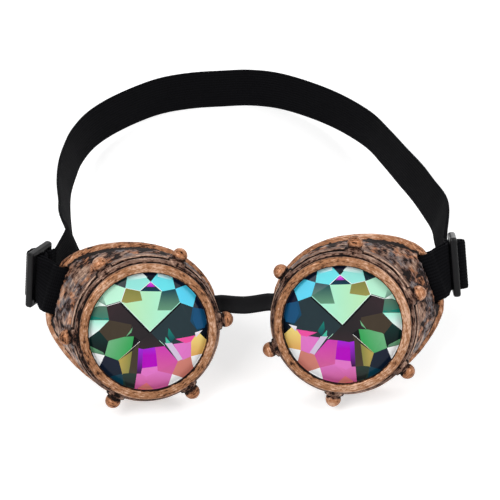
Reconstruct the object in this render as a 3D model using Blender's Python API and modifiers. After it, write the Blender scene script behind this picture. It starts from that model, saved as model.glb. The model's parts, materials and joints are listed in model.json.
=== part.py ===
"""Costume goggles: two moulded cups with screw-on lens rings, faceted lenses and an elastic head strap.

World frame: metres, +Z up, +X to the viewer's right, lenses looking towards -Y and tilted back.
Lens frame of each cup: x as the viewer sees it, y up, z forward along the lens axis, with its origin
at the middle of the lens ring's front face. A depth is measured backwards from that face.
"""

import math

import bmesh
import bpy
from mathutils import Matrix, Vector

# Stance of the two cups
lens_spacing = 0.0782
tilt_back = math.radians(28)
toe_in = math.radians(8)
fit_gap = 0.0003
cut_overrun = 0.002

# Lens: the cut crown shows in the ring's opening, and the flange round it is clamped
lens_crown_radius = 0.0240
lens_flange_width = 0.0014
lens_radius = lens_crown_radius + lens_flange_width
lens_flange_thickness = 0.0024
lens_crown_height = 0.0032
lens_star_height = 0.00233
lens_point_height = 0.00141
lens_star_share = 0.735
lens_point_share = 0.863
lens_table_slope = 0.060
lens_rim_slope = 0.47
lens_back_depth = 0.0026
lens_back_land = 0.0020
lens_back_facets = 8
lens_segments = 48
quarter_facets = 4
star_facets = 12
facet_snap = 0.0000005

# Gasket between the glass and the cup's neck
gasket_width = 0.0018
gasket_thickness = 0.0010

# Cup's threaded neck
neck_step = 0.0007
neck_radius = lens_radius + neck_step
neck_bore_radius = lens_radius - gasket_width

# Lens ring, from its opening outwards
ring_opening_ease = 0.0002
ring_wall = 0.0012
ring_lip_rise = 0.0004
ring_bead_rise = 0.0019
ring_flange_rise = 0.0028
ring_opening_radius = lens_crown_radius + ring_opening_ease
ring_groove_radius = neck_radius + fit_gap + ring_wall
ring_lip_radius = ring_groove_radius + ring_lip_rise
ring_bead_radius = ring_groove_radius + ring_bead_rise
ring_flange_radius = ring_groove_radius + ring_flange_rise
ring_lip_thickness = 0.0022
ring_lip_round = 0.0011
ring_bead_round = 0.0014
ring_bead_depth = 0.0055
ring_flange_round = 0.0008
ring_flange_depth = 0.0078
ring_depth = 0.0123
ring_segments = 48
ring_turn = {-1: math.radians(57), 1: math.radians(20.5)}

# Domed studs moulded on the ring, with heights from the ring's flange
stud_count = 6
stud_foot_radius = 0.0042
stud_overhang = 0.0001
stud_depth = ring_depth + stud_overhang - stud_foot_radius
stud_foot_sink = 0.0014
stud_neck_radius = 0.0027
stud_neck_rise = 0.0013
stud_dome_radius = 0.0034
stud_dome_rise = 0.0038
stud_dome_share = 0.25
stud_root_wall = 0.0010
stud_segments = 14

# Cup: shoulder, flared wall and rolled rim
shoulder_inset = 0.0004
shoulder_radius = ring_flange_radius - shoulder_inset
shoulder_depth = ring_depth + fit_gap
shoulder_chamfer = 0.0006
shoulder_thickness = 0.0019
wall_thickness = 0.0023
wall_bulge = 0.0006
wall_flare = 0.0021
rim_radius = shoulder_radius + wall_flare
temple_reach = 0.0098
temple_direction = math.radians(24)
temple_sharpness = 8
temple_trim = 0.0029
temple_flat = rim_radius + temple_reach - temple_trim
temple_flat_direction = math.radians(18)
nose_trim = 0.0013
nose_flat = rim_radius - nose_trim
flat_half_angle = math.radians(75)
edge_blend_power = 40
bead_width = 0.0044
bead_height = 0.0037
bead_step = 0.0020
bead_round = 0.0012
nose_wall_depth = 0.0035
rim_slope = 0.20
rim_depth = shoulder_depth + nose_wall_depth + bead_height + rim_slope * nose_flat
cup_segments = 64

# Webbing of the head strap
strap_width = 0.0200
strap_thickness = 0.0014
strap_ease = 0.0004

# Strap slot and its rim bar
strap_slot_ease = 0.0006
strap_slot_length = strap_width + 2 * strap_slot_ease
strap_slot_width = 0.0041
strap_slot_offset = 0.0026

# Bridge strip and its slots
bridge_width = 0.0070
bridge_thickness = 0.0016
bridge_rise = 0.0067
bridge_depth = shoulder_depth + nose_wall_depth
bridge_arch = 0.0008
bridge_end_width = 0.0092
bridge_end_length = 0.0024
bridge_end_inset = 0.0062

# Lie of the head strap
strap_reach = 0.2100
strap_swell = 0.0069
strap_half_width = lens_spacing / 2 + temple_flat + strap_swell
strap_rise = 0.0270
strap_rise_power = 1.2
strap_front_share = 0.282
straight_stretch_shares = (0.3, 0.7)

# Slider, a frame with a centre bar
slider_end_ease = 0.0009
slider_end_bar = 0.0016
slider_slot_length = strap_width + 2 * slider_end_ease
slider_height = slider_slot_length + 2 * slider_end_bar
slider_thickness = 0.0032
slider_outer_bar = 0.0024
slider_centre_bar = 0.0018
slider_slot = 0.0045
slider_round = 0.0011

# Where each slider rests, from the rim's corner beside the strap slot
left_slider_outward = 0.0032
left_slider_above = 0.0067
left_slider_behind = 0.0085
right_slider_outward = 0.0056
right_slider_above = 0.0047
right_slider_behind = 0.0097
slider_outward = {-1: left_slider_outward, 1: right_slider_outward}
slider_above = {-1: left_slider_above, 1: right_slider_above}
slider_behind = {-1: left_slider_behind, 1: right_slider_behind}
slider_heading = {-1: math.radians(37), 1: math.radians(7)}
slider_lean = {-1: math.radians(5), 1: math.radians(3)}
slider_upright = {-1: math.radians(14), 1: 0.0}

side_names = {-1: "left", 1: "right"}

# Plan of the head strap: x share of strap_half_width, y share of strap_reach, lean in degrees
head_strap_shares = (
    (-0.886, 0.422, 12.0),
    (-0.904, 0.516, 12.0),
    (-0.906, 0.609, 10.0),
    (-0.884, 0.693, 9.0),
    (-0.854, 0.758, 7.0),
    (-0.790, 0.828, 5.0),
    (-0.689, 0.888, 3.0),
    (-0.547, 0.943, 1.0),
    (-0.409, 0.979, 0.0),
    (-0.252, 0.996, 0.0),
    (-0.087, 1.0, 0.0),
    (0.065, 1.0, 0.0),
    (0.220, 0.982, 0.0),
    (0.388, 0.935, 1.0),
    (0.546, 0.870, 3.0),
    (0.683, 0.786, 5.0),
    (0.761, 0.703, 7.0),
    (0.833, 0.614, 9.0),
    (0.900, 0.531, 11.0),
    (0.947, 0.456, 12.0),
)
# Plan of each strap end behind its slider, from the head strap towards the slider
strap_end_shares = {
    -1: ((-0.878, 0.381, 14.0), (-0.854, 0.338, 16.0), (-0.834, 0.298, 14.0)),
    1: ((0.985, 0.390, 15.0), (0.990, 0.320, 15.0)),
}


def clear_scene():
    for item in list(bpy.data.objects):
        bpy.data.objects.remove(item, do_unlink=True)
    for collection in list(bpy.data.collections):
        bpy.data.collections.remove(collection)


def new_collection(name):
    collection = bpy.data.collections.new(name)
    bpy.context.scene.collection.children.link(collection)
    return collection


def make_material(name, colour, roughness, metallic=0.0, transmission=0.0):
    material = bpy.data.materials.new(name)
    material.use_nodes = True
    shader = material.node_tree.nodes["Principled BSDF"]
    shader.inputs["Base Color"].default_value = (*colour, 1.0)
    shader.inputs["Roughness"].default_value = roughness
    shader.inputs["Metallic"].default_value = metallic
    shader.inputs["Transmission Weight"].default_value = transmission
    return material


def mesh_object(name, verts, faces, collection, material=None, frame=None):
    mesh = bpy.data.meshes.new(name)
    mesh.from_pydata([tuple(v) for v in verts], [], faces)
    mesh.update()
    item = bpy.data.objects.new(name, mesh)
    collection.objects.link(item)
    if material:
        mesh.materials.append(material)
    if frame:
        item.matrix_world = frame
    return item


def outward_faces(item):
    """Turn every face of a closed mesh outwards."""
    shape = bmesh.new()
    shape.from_mesh(item.data)
    bmesh.ops.recalc_face_normals(shape, faces=shape.faces)
    shape.to_mesh(item.data)
    shape.free()


def shade_round(item, angle=35):
    item.data.shade_smooth()
    item.data.set_sharp_from_angle(angle=math.radians(angle))


def as_cutter(item):
    item.hide_render = True
    item.display_type = "WIRE"
    return item


def cut(item, cutter):
    modifier = item.modifiers.new("cut_" + cutter.name, "BOOLEAN")
    modifier.operation = "DIFFERENCE"
    modifier.solver = "EXACT"
    modifier.object = cutter


def join(item, other):
    modifier = item.modifiers.new("join_" + other.name, "BOOLEAN")
    modifier.operation = "UNION"
    modifier.solver = "EXACT"
    modifier.object = other


def arc(centre_r, centre_z, radius, start, end, steps):
    """Points of an arc in a turned profile, with angles in degrees from outward."""
    points = []
    for step in range(steps + 1):
        angle = math.radians(start + (end - start) * step / steps)
        points.append((centre_r + radius * math.cos(angle), centre_z + radius * math.sin(angle)))
    return points


def turned(name, profile, segments, collection, closed, frame):
    """Turn a profile of (radius, z) about the z axis of its frame."""
    verts = [(r, 0, z) for r, z in profile]
    mesh = bpy.data.meshes.new(name)
    edges = [(i, i + 1) for i in range(len(verts) - 1)]
    if closed:
        edges.append((len(verts) - 1, 0))
    mesh.from_pydata(verts, edges, [])
    item = bpy.data.objects.new(name, mesh)
    collection.objects.link(item)
    item.matrix_world = frame
    screw = item.modifiers.new("turn", "SCREW")
    screw.axis = "Z"
    screw.steps = segments
    screw.render_steps = segments
    screw.use_merge_vertices = True
    screw.merge_threshold = 0.000001
    weld = item.modifiers.new("weld", "WELD")
    weld.merge_threshold = 0.000001
    return item


def block(name, size, collection, frame):
    """A box of the given size, centred on its frame."""
    shape = bmesh.new()
    bmesh.ops.create_cube(shape, size=1.0)
    bmesh.ops.scale(shape, vec=Vector(size), verts=shape.verts)
    mesh = bpy.data.meshes.new(name)
    shape.to_mesh(mesh)
    shape.free()
    item = bpy.data.objects.new(name, mesh)
    collection.objects.link(item)
    item.matrix_world = frame
    return item


def rim_radius_at(angle):
    """Outer radius of the rim at an angle from outward towards up, seen along the lens axis."""
    lobe = ((1 + math.cos(angle - temple_direction)) / 2) ** temple_sharpness
    limits = [rim_radius + temple_reach * lobe]
    for reach, direction in ((temple_flat, temple_flat_direction), (nose_flat, math.pi)):
        facing = math.cos(angle - direction)
        if facing > math.cos(flat_half_angle):
            limits.append(reach / facing)
    return sum(limit**-edge_blend_power for limit in limits) ** (-1 / edge_blend_power)


def seat_depth(radius, angle):
    """Depth of the flat, slanting plane of the rim's back face."""
    return rim_depth + rim_slope * radius * math.cos(angle - temple_flat_direction)


def lens_back_depth_at_flange():
    return ring_lip_thickness + fit_gap + lens_flange_thickness


def neck_front_depth():
    return lens_back_depth_at_flange() + fit_gap + gasket_thickness + fit_gap


def cup_section(angle):
    """Closed section of the cup's wall at an angle, as (radius, depth) from the neck outwards."""
    rim = rim_radius_at(angle)
    back = seat_depth(rim, angle)
    seat_outer = rim - bead_round
    seat_inner = rim - bead_width + shoulder_chamfer
    shoulder = shoulder_depth
    wall_start = (shoulder_radius + shoulder_chamfer / 2, shoulder + shoulder_chamfer)
    wall_end = (rim - bead_step, back - bead_height - shoulder_chamfer)
    inner_start = (shoulder_radius - wall_thickness - shoulder_chamfer / 2, shoulder + wall_thickness)
    inner_back = seat_depth(rim - bead_width, angle)
    inner_end = (rim - bead_width, inner_back - bead_height + shoulder_chamfer / 2)
    points = [(neck_radius, neck_front_depth()), (neck_radius, shoulder)]
    points.append((shoulder_radius - shoulder_chamfer, shoulder))
    for step in range(4):
        share = step / 3
        bulge = wall_bulge * math.sin(math.pi * share)
        radius = wall_start[0] + (wall_end[0] - wall_start[0]) * share + bulge
        points.append((radius, wall_start[1] + (wall_end[1] - wall_start[1]) * share))
    points.append((rim - bead_step - shoulder_chamfer, back - bead_height - shoulder_chamfer / 3))
    points.append((rim - bead_round, back - bead_height))
    points += [(rim - bead_round + r, back - bead_height / 2 + z * (bead_height / bead_round / 2))
               for r, z in arc(0, 0, bead_round, -45, 45, 2)]
    points.append((seat_outer, seat_depth(seat_outer, angle)))
    points.append((seat_inner, seat_depth(seat_inner, angle)))
    points.append((rim - bead_width, inner_back - shoulder_chamfer))
    points.append(inner_end)
    middle = [(a + b) / 2 for a, b in zip(inner_start, inner_end)]
    points.append((middle[0] + wall_bulge, middle[1]))
    points.append(inner_start)
    points.append((neck_bore_radius, shoulder + shoulder_thickness - shoulder_chamfer))
    points.append((neck_bore_radius, neck_front_depth()))
    return points


def stance(side, height):
    """World matrix of a cup's lens frame."""
    return (
        Matrix.Translation((side * lens_spacing / 2, 0, height))
        @ Matrix.Rotation(-tilt_back, 4, "X")
        @ Matrix.Rotation(-side * toe_in, 4, "Z")
        @ Matrix.Rotation(math.pi / 2, 4, "X")
    )


def standing_height():
    """Height of the lens centres that puts the lowest point of the rims on the table."""
    frame = stance(1, 0)
    lowest = 0
    for step in range(cup_segments):
        angle = 2 * math.pi * step / cup_segments
        for radius, depth in cup_section(angle):
            point = frame @ Vector((radius * math.cos(angle), radius * math.sin(angle), -depth))
            lowest = min(lowest, point.z)
    return -lowest


def lens_frame(side):
    return stance(side, standing_height())


def make_cup(side, collection, cutters, material):
    """Loft the wall's section round the lens axis, then cut the strap slot and the bridge slot."""
    verts = []
    faces = []
    for step in range(cup_segments):
        angle = 2 * math.pi * step / cup_segments
        section = cup_section(angle)
        count = len(section)
        for radius, depth in section:
            verts.append((side * radius * math.cos(angle), radius * math.sin(angle), -depth))
        for point in range(count):
            here = step * count
            after = (step + 1) % cup_segments * count
            along = (point + 1) % count
            faces.append((here + point, here + along, after + along, after + point))
    name = side_names[side] + "_cup"
    item = mesh_object(name, verts, faces, collection, material, lens_frame(side))
    outward_faces(item)
    shade_round(item)
    cut(item, make_strap_slot_cutter(side, cutters))
    cut(item, make_bridge_slot_cutter(side, cutters))
    return item


def slot_directions(side):
    """Outward direction and long direction of the strap slot, in the lens frame."""
    out = Vector((side * math.cos(temple_flat_direction), math.sin(temple_flat_direction), 0))
    along = Vector((-side * math.sin(temple_flat_direction), math.cos(temple_flat_direction), 0))
    return out, along


def temple_edge():
    """Reach of the rim's outer edge beside the middle of the strap slot."""
    turn = math.atan2(strap_slot_offset, temple_flat)
    return rim_radius_at(temple_flat_direction + turn) * math.cos(turn)


def temple_back():
    """Depth of the rim's back edge beside the strap slot."""
    return rim_depth + rim_slope * temple_edge()


def slot_back_depth():
    return temple_back() - bead_height + shoulder_chamfer / 2


def make_strap_slot_cutter(side, cutters):
    out, along = slot_directions(side)
    inner = temple_flat - bead_width - wall_thickness - cut_overrun
    outer = temple_flat + cut_overrun
    centre = out * ((inner + outer) / 2) + along * strap_slot_offset
    centre.z = -(slot_back_depth() - strap_slot_width / 2)
    turn = Matrix.Rotation(side * temple_flat_direction, 4, "Z")
    frame = lens_frame(side) @ Matrix.Translation(centre) @ turn
    size = (outer - inner, strap_slot_length, strap_slot_width)
    return as_cutter(block(side_names[side] + "_strap_slot_cutter", size, cutters, frame))


def make_bridge_slot_cutter(side, cutters):
    inner = nose_flat - bead_width - wall_thickness
    outer = nose_flat + cut_overrun
    centre = Vector((-side * (inner + outer) / 2, bridge_rise, -bridge_depth))
    frame = lens_frame(side) @ Matrix.Translation(centre)
    size = (outer - inner, bridge_width + 2 * fit_gap, bridge_thickness + 2 * fit_gap)
    return as_cutter(block(side_names[side] + "_bridge_slot_cutter", size, cutters, frame))


def ring_profile():
    """Section of the lens ring: lip, groove, bead, groove and flange, then the bore from the back."""
    lens_room = lens_radius + fit_gap
    thread_room = neck_radius + fit_gap
    back_round = ring_depth - ring_flange_round
    front_round = ring_flange_depth + ring_flange_round
    points = [(ring_opening_radius, -ring_lip_thickness)]
    points.append((ring_opening_radius, -ring_lip_round / 2))
    points.append((ring_opening_radius + ring_lip_round / 2, 0))
    points += arc(ring_lip_radius - ring_lip_round, -ring_lip_round, ring_lip_round, 90, 0, 3)
    points.append((ring_lip_radius, -ring_lip_thickness))
    points.append((ring_groove_radius, -ring_lip_thickness - ring_lip_round / 2))
    points.append((ring_groove_radius, -ring_bead_depth + ring_bead_round))
    points += arc(ring_bead_radius - ring_bead_round, -ring_bead_depth, ring_bead_round, 60, -60, 4)
    points.append((ring_groove_radius, -ring_flange_depth + ring_flange_round / 2))
    points.append((ring_flange_radius - ring_flange_round, -ring_flange_depth))
    points.append((ring_flange_radius, -front_round))
    points.append((ring_flange_radius, -back_round))
    points.append((ring_flange_radius - ring_flange_round, -ring_depth))
    points.append((thread_room, -ring_depth))
    points.append((thread_room, -neck_front_depth()))
    points.append((lens_room, -neck_front_depth()))
    points.append((lens_room, -ring_lip_thickness))
    return points


def stud_profile():
    """Section of a stud, with z measured outwards from the lens axis."""
    root = neck_radius + fit_gap + stud_root_wall
    foot = ring_flange_radius - stud_foot_sink
    neck = ring_flange_radius + stud_neck_rise
    top = neck + stud_dome_rise
    dome_centre = neck + stud_dome_rise * stud_dome_share
    rise = top - dome_centre
    points = [(0, top)]
    for step in range(1, 4):
        angle = math.radians(90 - 30 * step)
        points.append((stud_dome_radius * math.cos(angle), dome_centre + rise * math.sin(angle)))
    points.append((stud_neck_radius, neck))
    points.append((stud_foot_radius, foot))
    points.append((stud_foot_radius, root))
    points.append((0, root))
    return points


def make_lens_ring(side, collection, cutters, material):
    frame = lens_frame(side)
    name = side_names[side] + "_lens_ring"
    ring = turned(name, ring_profile(), ring_segments, collection, True, frame)
    ring.data.materials.append(material)
    for index in range(stud_count):
        angle = ring_turn[side] + index * 2 * math.pi / stud_count
        if side < 0:
            angle = math.pi - angle
        turn = Matrix.Rotation(angle, 4, "Z") @ Matrix.Rotation(math.pi / 2, 4, "Y")
        place = frame @ Matrix.Translation((0, 0, -stud_depth)) @ turn
        stud_name = name + "_stud_" + str(index + 1)
        stud = turned(stud_name, stud_profile(), stud_segments, cutters, False, place)
        join(ring, as_cutter(stud))
    return ring


def cut_facet(shape, azimuth, near, far, downwards=False):
    """Cut one facet through two points, each given as (radius, height) along an azimuth."""
    outward = Vector((math.cos(azimuth), math.sin(azimuth), 0))
    run = far[0] - near[0]
    drop = near[1] - far[1]
    up = -1 if downwards else 1
    normal = (outward * drop + Vector((0, 0, up * run))).normalized()
    point = outward * near[0] + Vector((0, 0, up * near[1]))
    whole = list(shape.verts) + list(shape.edges) + list(shape.faces)
    bmesh.ops.bisect_plane(
        shape, geom=whole, dist=facet_snap, plane_co=point, plane_no=normal, clear_outer=True
    )
    edges = [edge for edge in shape.edges if edge.is_boundary]
    if edges:
        bmesh.ops.edgeloop_fill(shape, edges=edges)


def make_lens(side, collection, cutters, material):
    """Cut the crown and the back from a disc of glass, then join the flange that the ring clamps."""
    frame = lens_frame(side) @ Matrix.Translation((0, 0, -(ring_lip_thickness + fit_gap)))
    back = lens_flange_thickness + lens_back_depth
    shape = bmesh.new()
    bmesh.ops.create_cone(
        shape, cap_ends=True, segments=lens_segments, radius1=lens_crown_radius,
        radius2=lens_crown_radius, depth=lens_crown_height + back + 2 * cut_overrun,
    )
    bmesh.ops.translate(shape, vec=(0, 0, (lens_crown_height - back) / 2), verts=shape.verts)
    star = (lens_crown_radius * lens_star_share, lens_star_height)
    point = (lens_crown_radius * lens_point_share, lens_point_height)
    half = math.pi / star_facets
    table_far = (lens_crown_radius, lens_crown_height - lens_table_slope * lens_crown_radius)
    for index in range(quarter_facets):
        cut_facet(shape, index * math.pi / 2, (0, lens_crown_height), table_far)
    for index in range(star_facets):
        azimuth = index * 2 * math.pi / star_facets
        star_flat = (star[0] * math.cos(half), star[1])
        cut_facet(shape, azimuth, star_flat, point)
        cut_facet(shape, azimuth + half, star, (point[0] * math.cos(half), point[1]))
        rim = (lens_crown_radius, point[1] - lens_rim_slope * (lens_crown_radius - point[0]))
        cut_facet(shape, azimuth, point, rim)
    for index in range(lens_back_facets):
        azimuth = (index + 0.5) * 2 * math.pi / lens_back_facets
        edge = (lens_crown_radius - lens_back_land, lens_flange_thickness)
        cut_facet(shape, azimuth, (0, back), edge, True)
    mesh = bpy.data.meshes.new(side_names[side] + "_lens")
    shape.to_mesh(mesh)
    shape.free()
    mesh.materials.append(material)
    lens = bpy.data.objects.new(side_names[side] + "_lens", mesh)
    collection.objects.link(lens)
    lens.matrix_world = frame
    flange_profile = [
        (0, 0), (lens_radius, 0), (lens_radius, -lens_flange_thickness), (0, -lens_flange_thickness),
    ]
    flange = turned(lens.name + "_flange", flange_profile, lens_segments, cutters, False, frame)
    join(lens, as_cutter(flange))
    return lens


def make_gasket(side, collection, material):
    front = -(lens_back_depth_at_flange() + fit_gap)
    profile = [
        (neck_bore_radius, front),
        (lens_radius, front),
        (lens_radius, front - gasket_thickness),
        (neck_bore_radius, front - gasket_thickness),
    ]
    name = side_names[side] + "_lens_gasket"
    item = turned(name, profile, ring_segments, collection, True, lens_frame(side))
    item.data.materials.append(material)
    return item


def smooth_route(stations, steps):
    """Catmull-Rom curve through stations of (centre, across, width)."""
    route = []
    last = len(stations) - 1
    for index in range(last):
        window = [stations[min(max(index + k, 0), last)] for k in (-1, 0, 1, 2)]
        for step in range(steps):
            t = step / steps
            weights = (
                (-t + 2 * t**2 - t**3) / 2,
                (2 - 5 * t**2 + 3 * t**3) / 2,
                (t + 4 * t**2 - 3 * t**3) / 2,
                (-(t**2) + t**3) / 2,
            )
            centre = sum((s[0] * w for s, w in zip(window, weights)), Vector())
            across = sum((s[1] * w for s, w in zip(window, weights)), Vector())
            width = sum(s[2] * w for s, w in zip(window, weights))
            route.append((centre, across.normalized(), width))
    route.append(stations[-1])
    return route


def ribbon(name, route, thickness, collection, material, frame=None):
    """Flat strip of rectangular section swept along a route of (centre, across, width)."""
    verts = []
    faces = []
    for index, (centre, across, width) in enumerate(route):
        before = route[max(index - 1, 0)][0]
        after = route[min(index + 1, len(route) - 1)][0]
        tangent = (after - before).normalized()
        normal = tangent.cross(across).normalized()
        for turn_across, turn_normal in ((-1, -1), (1, -1), (1, 1), (-1, 1)):
            offset = across * (turn_across * width / 2) + normal * (turn_normal * thickness / 2)
            verts.append(centre + offset)
    for index in range(len(route) - 1):
        for corner in range(4):
            here = index * 4
            along = (corner + 1) % 4
            faces.append((here + corner, here + along, here + 4 + along, here + 4 + corner))
    faces.append((3, 2, 1, 0))
    end = len(verts) - 4
    faces.append((end, end + 1, end + 2, end + 3))
    item = mesh_object(name, verts, faces, collection, material, frame)
    outward_faces(item)
    shade_round(item)
    return item


def make_bridge_strip(collection, material):
    """Strip from cup to cup, with widened ends that can't pass back through the slots."""
    stations = []
    end_inner = nose_flat - bridge_end_inset - bridge_end_length
    end_outer = nose_flat - bridge_end_inset
    for side in (-1, 1):
        frame = lens_frame(side)
        across = (frame.to_3x3() @ Vector((0, 1, 0))).normalized()
        places = [
            (end_inner, bridge_end_width), (end_outer, bridge_end_width),
            (end_outer + fit_gap, bridge_width), (nose_flat, bridge_width),
            (nose_flat + cut_overrun, bridge_width),
        ]
        half = [
            (frame @ Vector((-side * reach, bridge_rise, -bridge_depth)), across, width)
            for reach, width in places
        ]
        stations.append(half)
    left, right = stations
    middle = (left[-1][0] + right[-1][0]) / 2 + left[-1][1] * bridge_arch
    crown = smooth_route([left[-2], left[-1], (middle, left[-1][1], bridge_width), right[-1], right[-2]], 4)
    route = left[:3] + crown + right[2::-1]
    return ribbon("bridge_strip", route, bridge_thickness, collection, material)


def slider_frame(side):
    """World matrix of a slider: x along the strap towards the back, y along its bars, z outwards."""
    upright = slider_upright[side]
    inward = Vector((-side, 0, 0))
    back = Vector((0, math.sin(upright), -math.cos(upright)))
    along = back * math.cos(slider_heading[side]) + inward * math.sin(slider_heading[side])
    rise = Vector((0, math.cos(upright), math.sin(upright)))
    lean = inward * math.sin(slider_lean[side]) + rise * math.cos(slider_lean[side])
    bar = (lean - along * lean.dot(along)).normalized() * side
    outward = along.cross(bar)
    turn = Matrix((along, bar, outward)).transposed().to_4x4()
    reach = temple_edge() * math.cos(temple_flat_direction) + slider_outward[side]
    height = temple_edge() * math.sin(temple_flat_direction) + slider_above[side]
    place = (side * reach, height, -temple_back() - slider_behind[side])
    return lens_frame(side) @ Matrix.Translation(place) @ turn


def make_slider(side, collection, cutters, material):
    width = 2 * (slider_slot + slider_outer_bar) + slider_centre_bar
    frame = slider_frame(side)
    name = side_names[side] + "_slider"
    item = block(name, (width, slider_height, slider_thickness), collection, frame)
    item.data.materials.append(material)
    rounding = item.modifiers.new("round_edges", "BEVEL")
    rounding.width = slider_round
    rounding.segments = 3
    rounding.limit_method = "ANGLE"
    for end in (-1, 1):
        place = Matrix.Translation((end * (slider_centre_bar + slider_slot) / 2, 0, 0))
        size = (slider_slot, slider_slot_length, slider_thickness + cut_overrun)
        label = name + ("_front" if end < 0 else "_back") + "_slot_cutter"
        cut(item, as_cutter(block(label, size, cutters, frame @ place)))
    return item


def slider_layers():
    """Distances of the webbing layers from the slider's middle plane and centre line."""
    pitch = strap_thickness + fit_gap
    beside = slider_thickness / 2 + fit_gap + (strap_thickness + strap_ease) / 2
    sewn = slider_centre_bar / 2 + fit_gap + strap_thickness / 2
    return {"pitch": pitch, "beside": beside, "sewn": sewn, "main": sewn + pitch}


def strap_through_slider(side):
    """The strap's run from behind the slider to its front, over the centre bar: (along, outwards)."""
    layer = slider_layers()
    edge = slider_centre_bar / 2 + slider_slot + slider_outer_bar
    under = -layer["beside"]
    over = layer["beside"] + layer["pitch"]
    step = layer["pitch"] / 2
    half = [
        (edge + strap_thickness, under),
        (edge - slider_outer_bar / 2, under),
        (layer["main"] + 1.2 * step, under + step / 5),
        (layer["main"] + step / 4, under + 1.3 * step),
        (layer["main"], 0),
        (layer["main"] - step / 3, over - 2 * step),
        (layer["sewn"], over - step / 4),
        (slider_centre_bar / 4, over),
    ]
    front = half[1:] if side > 0 else half[3:]
    return half + [(-along, out) for along, out in reversed(front)]


def sewn_loop(side):
    """The sewn end round the centre bar, from its tail to the layer that goes to the rim bar."""
    layer = slider_layers()
    step = layer["pitch"] / 2
    under = -layer["beside"] - layer["pitch"]
    over = layer["beside"]
    loop = [
        (-fit_gap, -over),
        (layer["sewn"] / 2, -over + step / 8),
        (layer["sewn"] - step / 4, -over + step),
        (layer["sewn"], 0),
        (layer["sewn"] - step / 4, over - step),
        (layer["sewn"] / 2, over - step / 8),
        (-layer["sewn"] / 2, over - step / 8),
        (-layer["sewn"] + step / 4, over - step),
        (-layer["sewn"], 0),
        (-layer["sewn"], -layer["beside"]),
    ]
    if side > 0:
        loop.append((-layer["sewn"] - step / 2, under + step / 2))
        loop.append((-layer["main"] - step, under))
    return loop


def rim_bar_loop():
    """The strap's way round the rim bar, from behind the rim to its front: (outwards, depth)."""
    off = fit_gap + strap_thickness / 2
    outer = temple_edge()
    inner = outer - bead_width - 2 * strap_ease
    back = temple_back()
    front = slot_back_depth()
    turn = strap_thickness
    return [
        (outer + strap_ease, back + off + turn / 5),
        (outer - turn, back + off),
        (inner + turn / 2, back + off),
        (inner - off + turn / 4, back + off - turn / 3),
        (inner - off, back - turn),
        (inner - off, front + turn),
        (inner - off + turn / 4, front - off + turn / 4),
        (inner + turn, front - off),
        (outer - turn, front - off),
        (outer + off / 2, front - off + turn / 3),
        (outer + off, front + turn),
        (outer + off + turn / 2, front + 2 * turn),
    ]


def plan_station(shares):
    """Station of the strap from shares of its plan, standing on its edge with its lean outwards."""
    x = shares[0] * strap_half_width
    y = shares[1] * strap_reach
    lean = math.radians(shares[2])
    outward = -1 if x < 0 else 1
    ahead = max(0.0, 1 - shares[1]) / (1 - strap_front_share)
    height = strap_width / 2 * math.cos(lean) + strap_rise * ahead**strap_rise_power
    across = Vector((outward * math.sin(lean), 0, math.cos(lean)))
    return Vector((x, y, height)), across, strap_width


def stations_between(first, last):
    """Stations that share out the twist of a straight stretch of strap between two others."""
    return [
        tuple(start + (end - start) * share for start, end in zip(first, last))
        for share in straight_stretch_shares
    ]


def strap_end_stations(side):
    """Stations of one strap end from its sewn tail to the joint with the head strap."""
    frame = slider_frame(side)
    bar = (frame.to_3x3() @ Vector((0, side, 0))).normalized()
    cup_frame = lens_frame(side)
    out, along = slot_directions(side)
    slot_across = (cup_frame.to_3x3() @ along).normalized()
    sewn = [(frame @ Vector((s, 0, n)), bar, strap_width) for s, n in sewn_loop(side)]
    rim = []
    for reach, depth in rim_bar_loop():
        place = out * reach + along * strap_slot_offset - Vector((0, 0, depth))
        rim.append((cup_frame @ place, slot_across, strap_width))
    through = [(frame @ Vector((s, 0, n)), bar, strap_width) for s, n in strap_through_slider(side)]
    through.reverse()
    stations = sewn + stations_between(sewn[-1], rim[0]) + rim
    stations += stations_between(rim[-1], through[0]) + through
    end = head_strap_shares[0] if side < 0 else head_strap_shares[-1]
    tail = [plan_station(shares) for shares in reversed(strap_end_shares[side])]
    return stations + tail + [plan_station(end)]


def make_strap_end(side, collection, material):
    route = smooth_route(strap_end_stations(side), 2)
    name = side_names[side] + "_strap_end"
    return ribbon(name, route, strap_thickness, collection, material)


def make_head_strap(collection, material):
    stations = [plan_station(shares) for shares in head_strap_shares]
    for index, neighbour in ((0, 1), (-1, -2)):
        centre, across, width = stations[index]
        inward = (stations[neighbour][0] - centre).normalized()
        stations[index] = (centre + inward * fit_gap, across, width)
    return ribbon("head_strap", smooth_route(stations, 3), strap_thickness, collection, material)


def place_at_origin(parts, cutters):
    """Carry everything on one empty, so that the goggles stand centred on the origin."""
    graph = bpy.context.evaluated_depsgraph_get()
    corners = []
    for item in parts.objects:
        shape = item.evaluated_get(graph)
        corners += [shape.matrix_world @ v.co for v in shape.data.vertices]
    low = Vector(min(c[axis] for c in corners) for axis in range(3))
    high = Vector(max(c[axis] for c in corners) for axis in range(3))
    carrier = bpy.data.objects.new("goggles_stand", None)
    parts.objects.link(carrier)
    for collection in (parts, cutters):
        for item in collection.objects:
            if item is not carrier:
                item.parent = carrier
    carrier.location = (-(low.x + high.x) / 2, -(low.y + high.y) / 2, -low.z)


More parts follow.
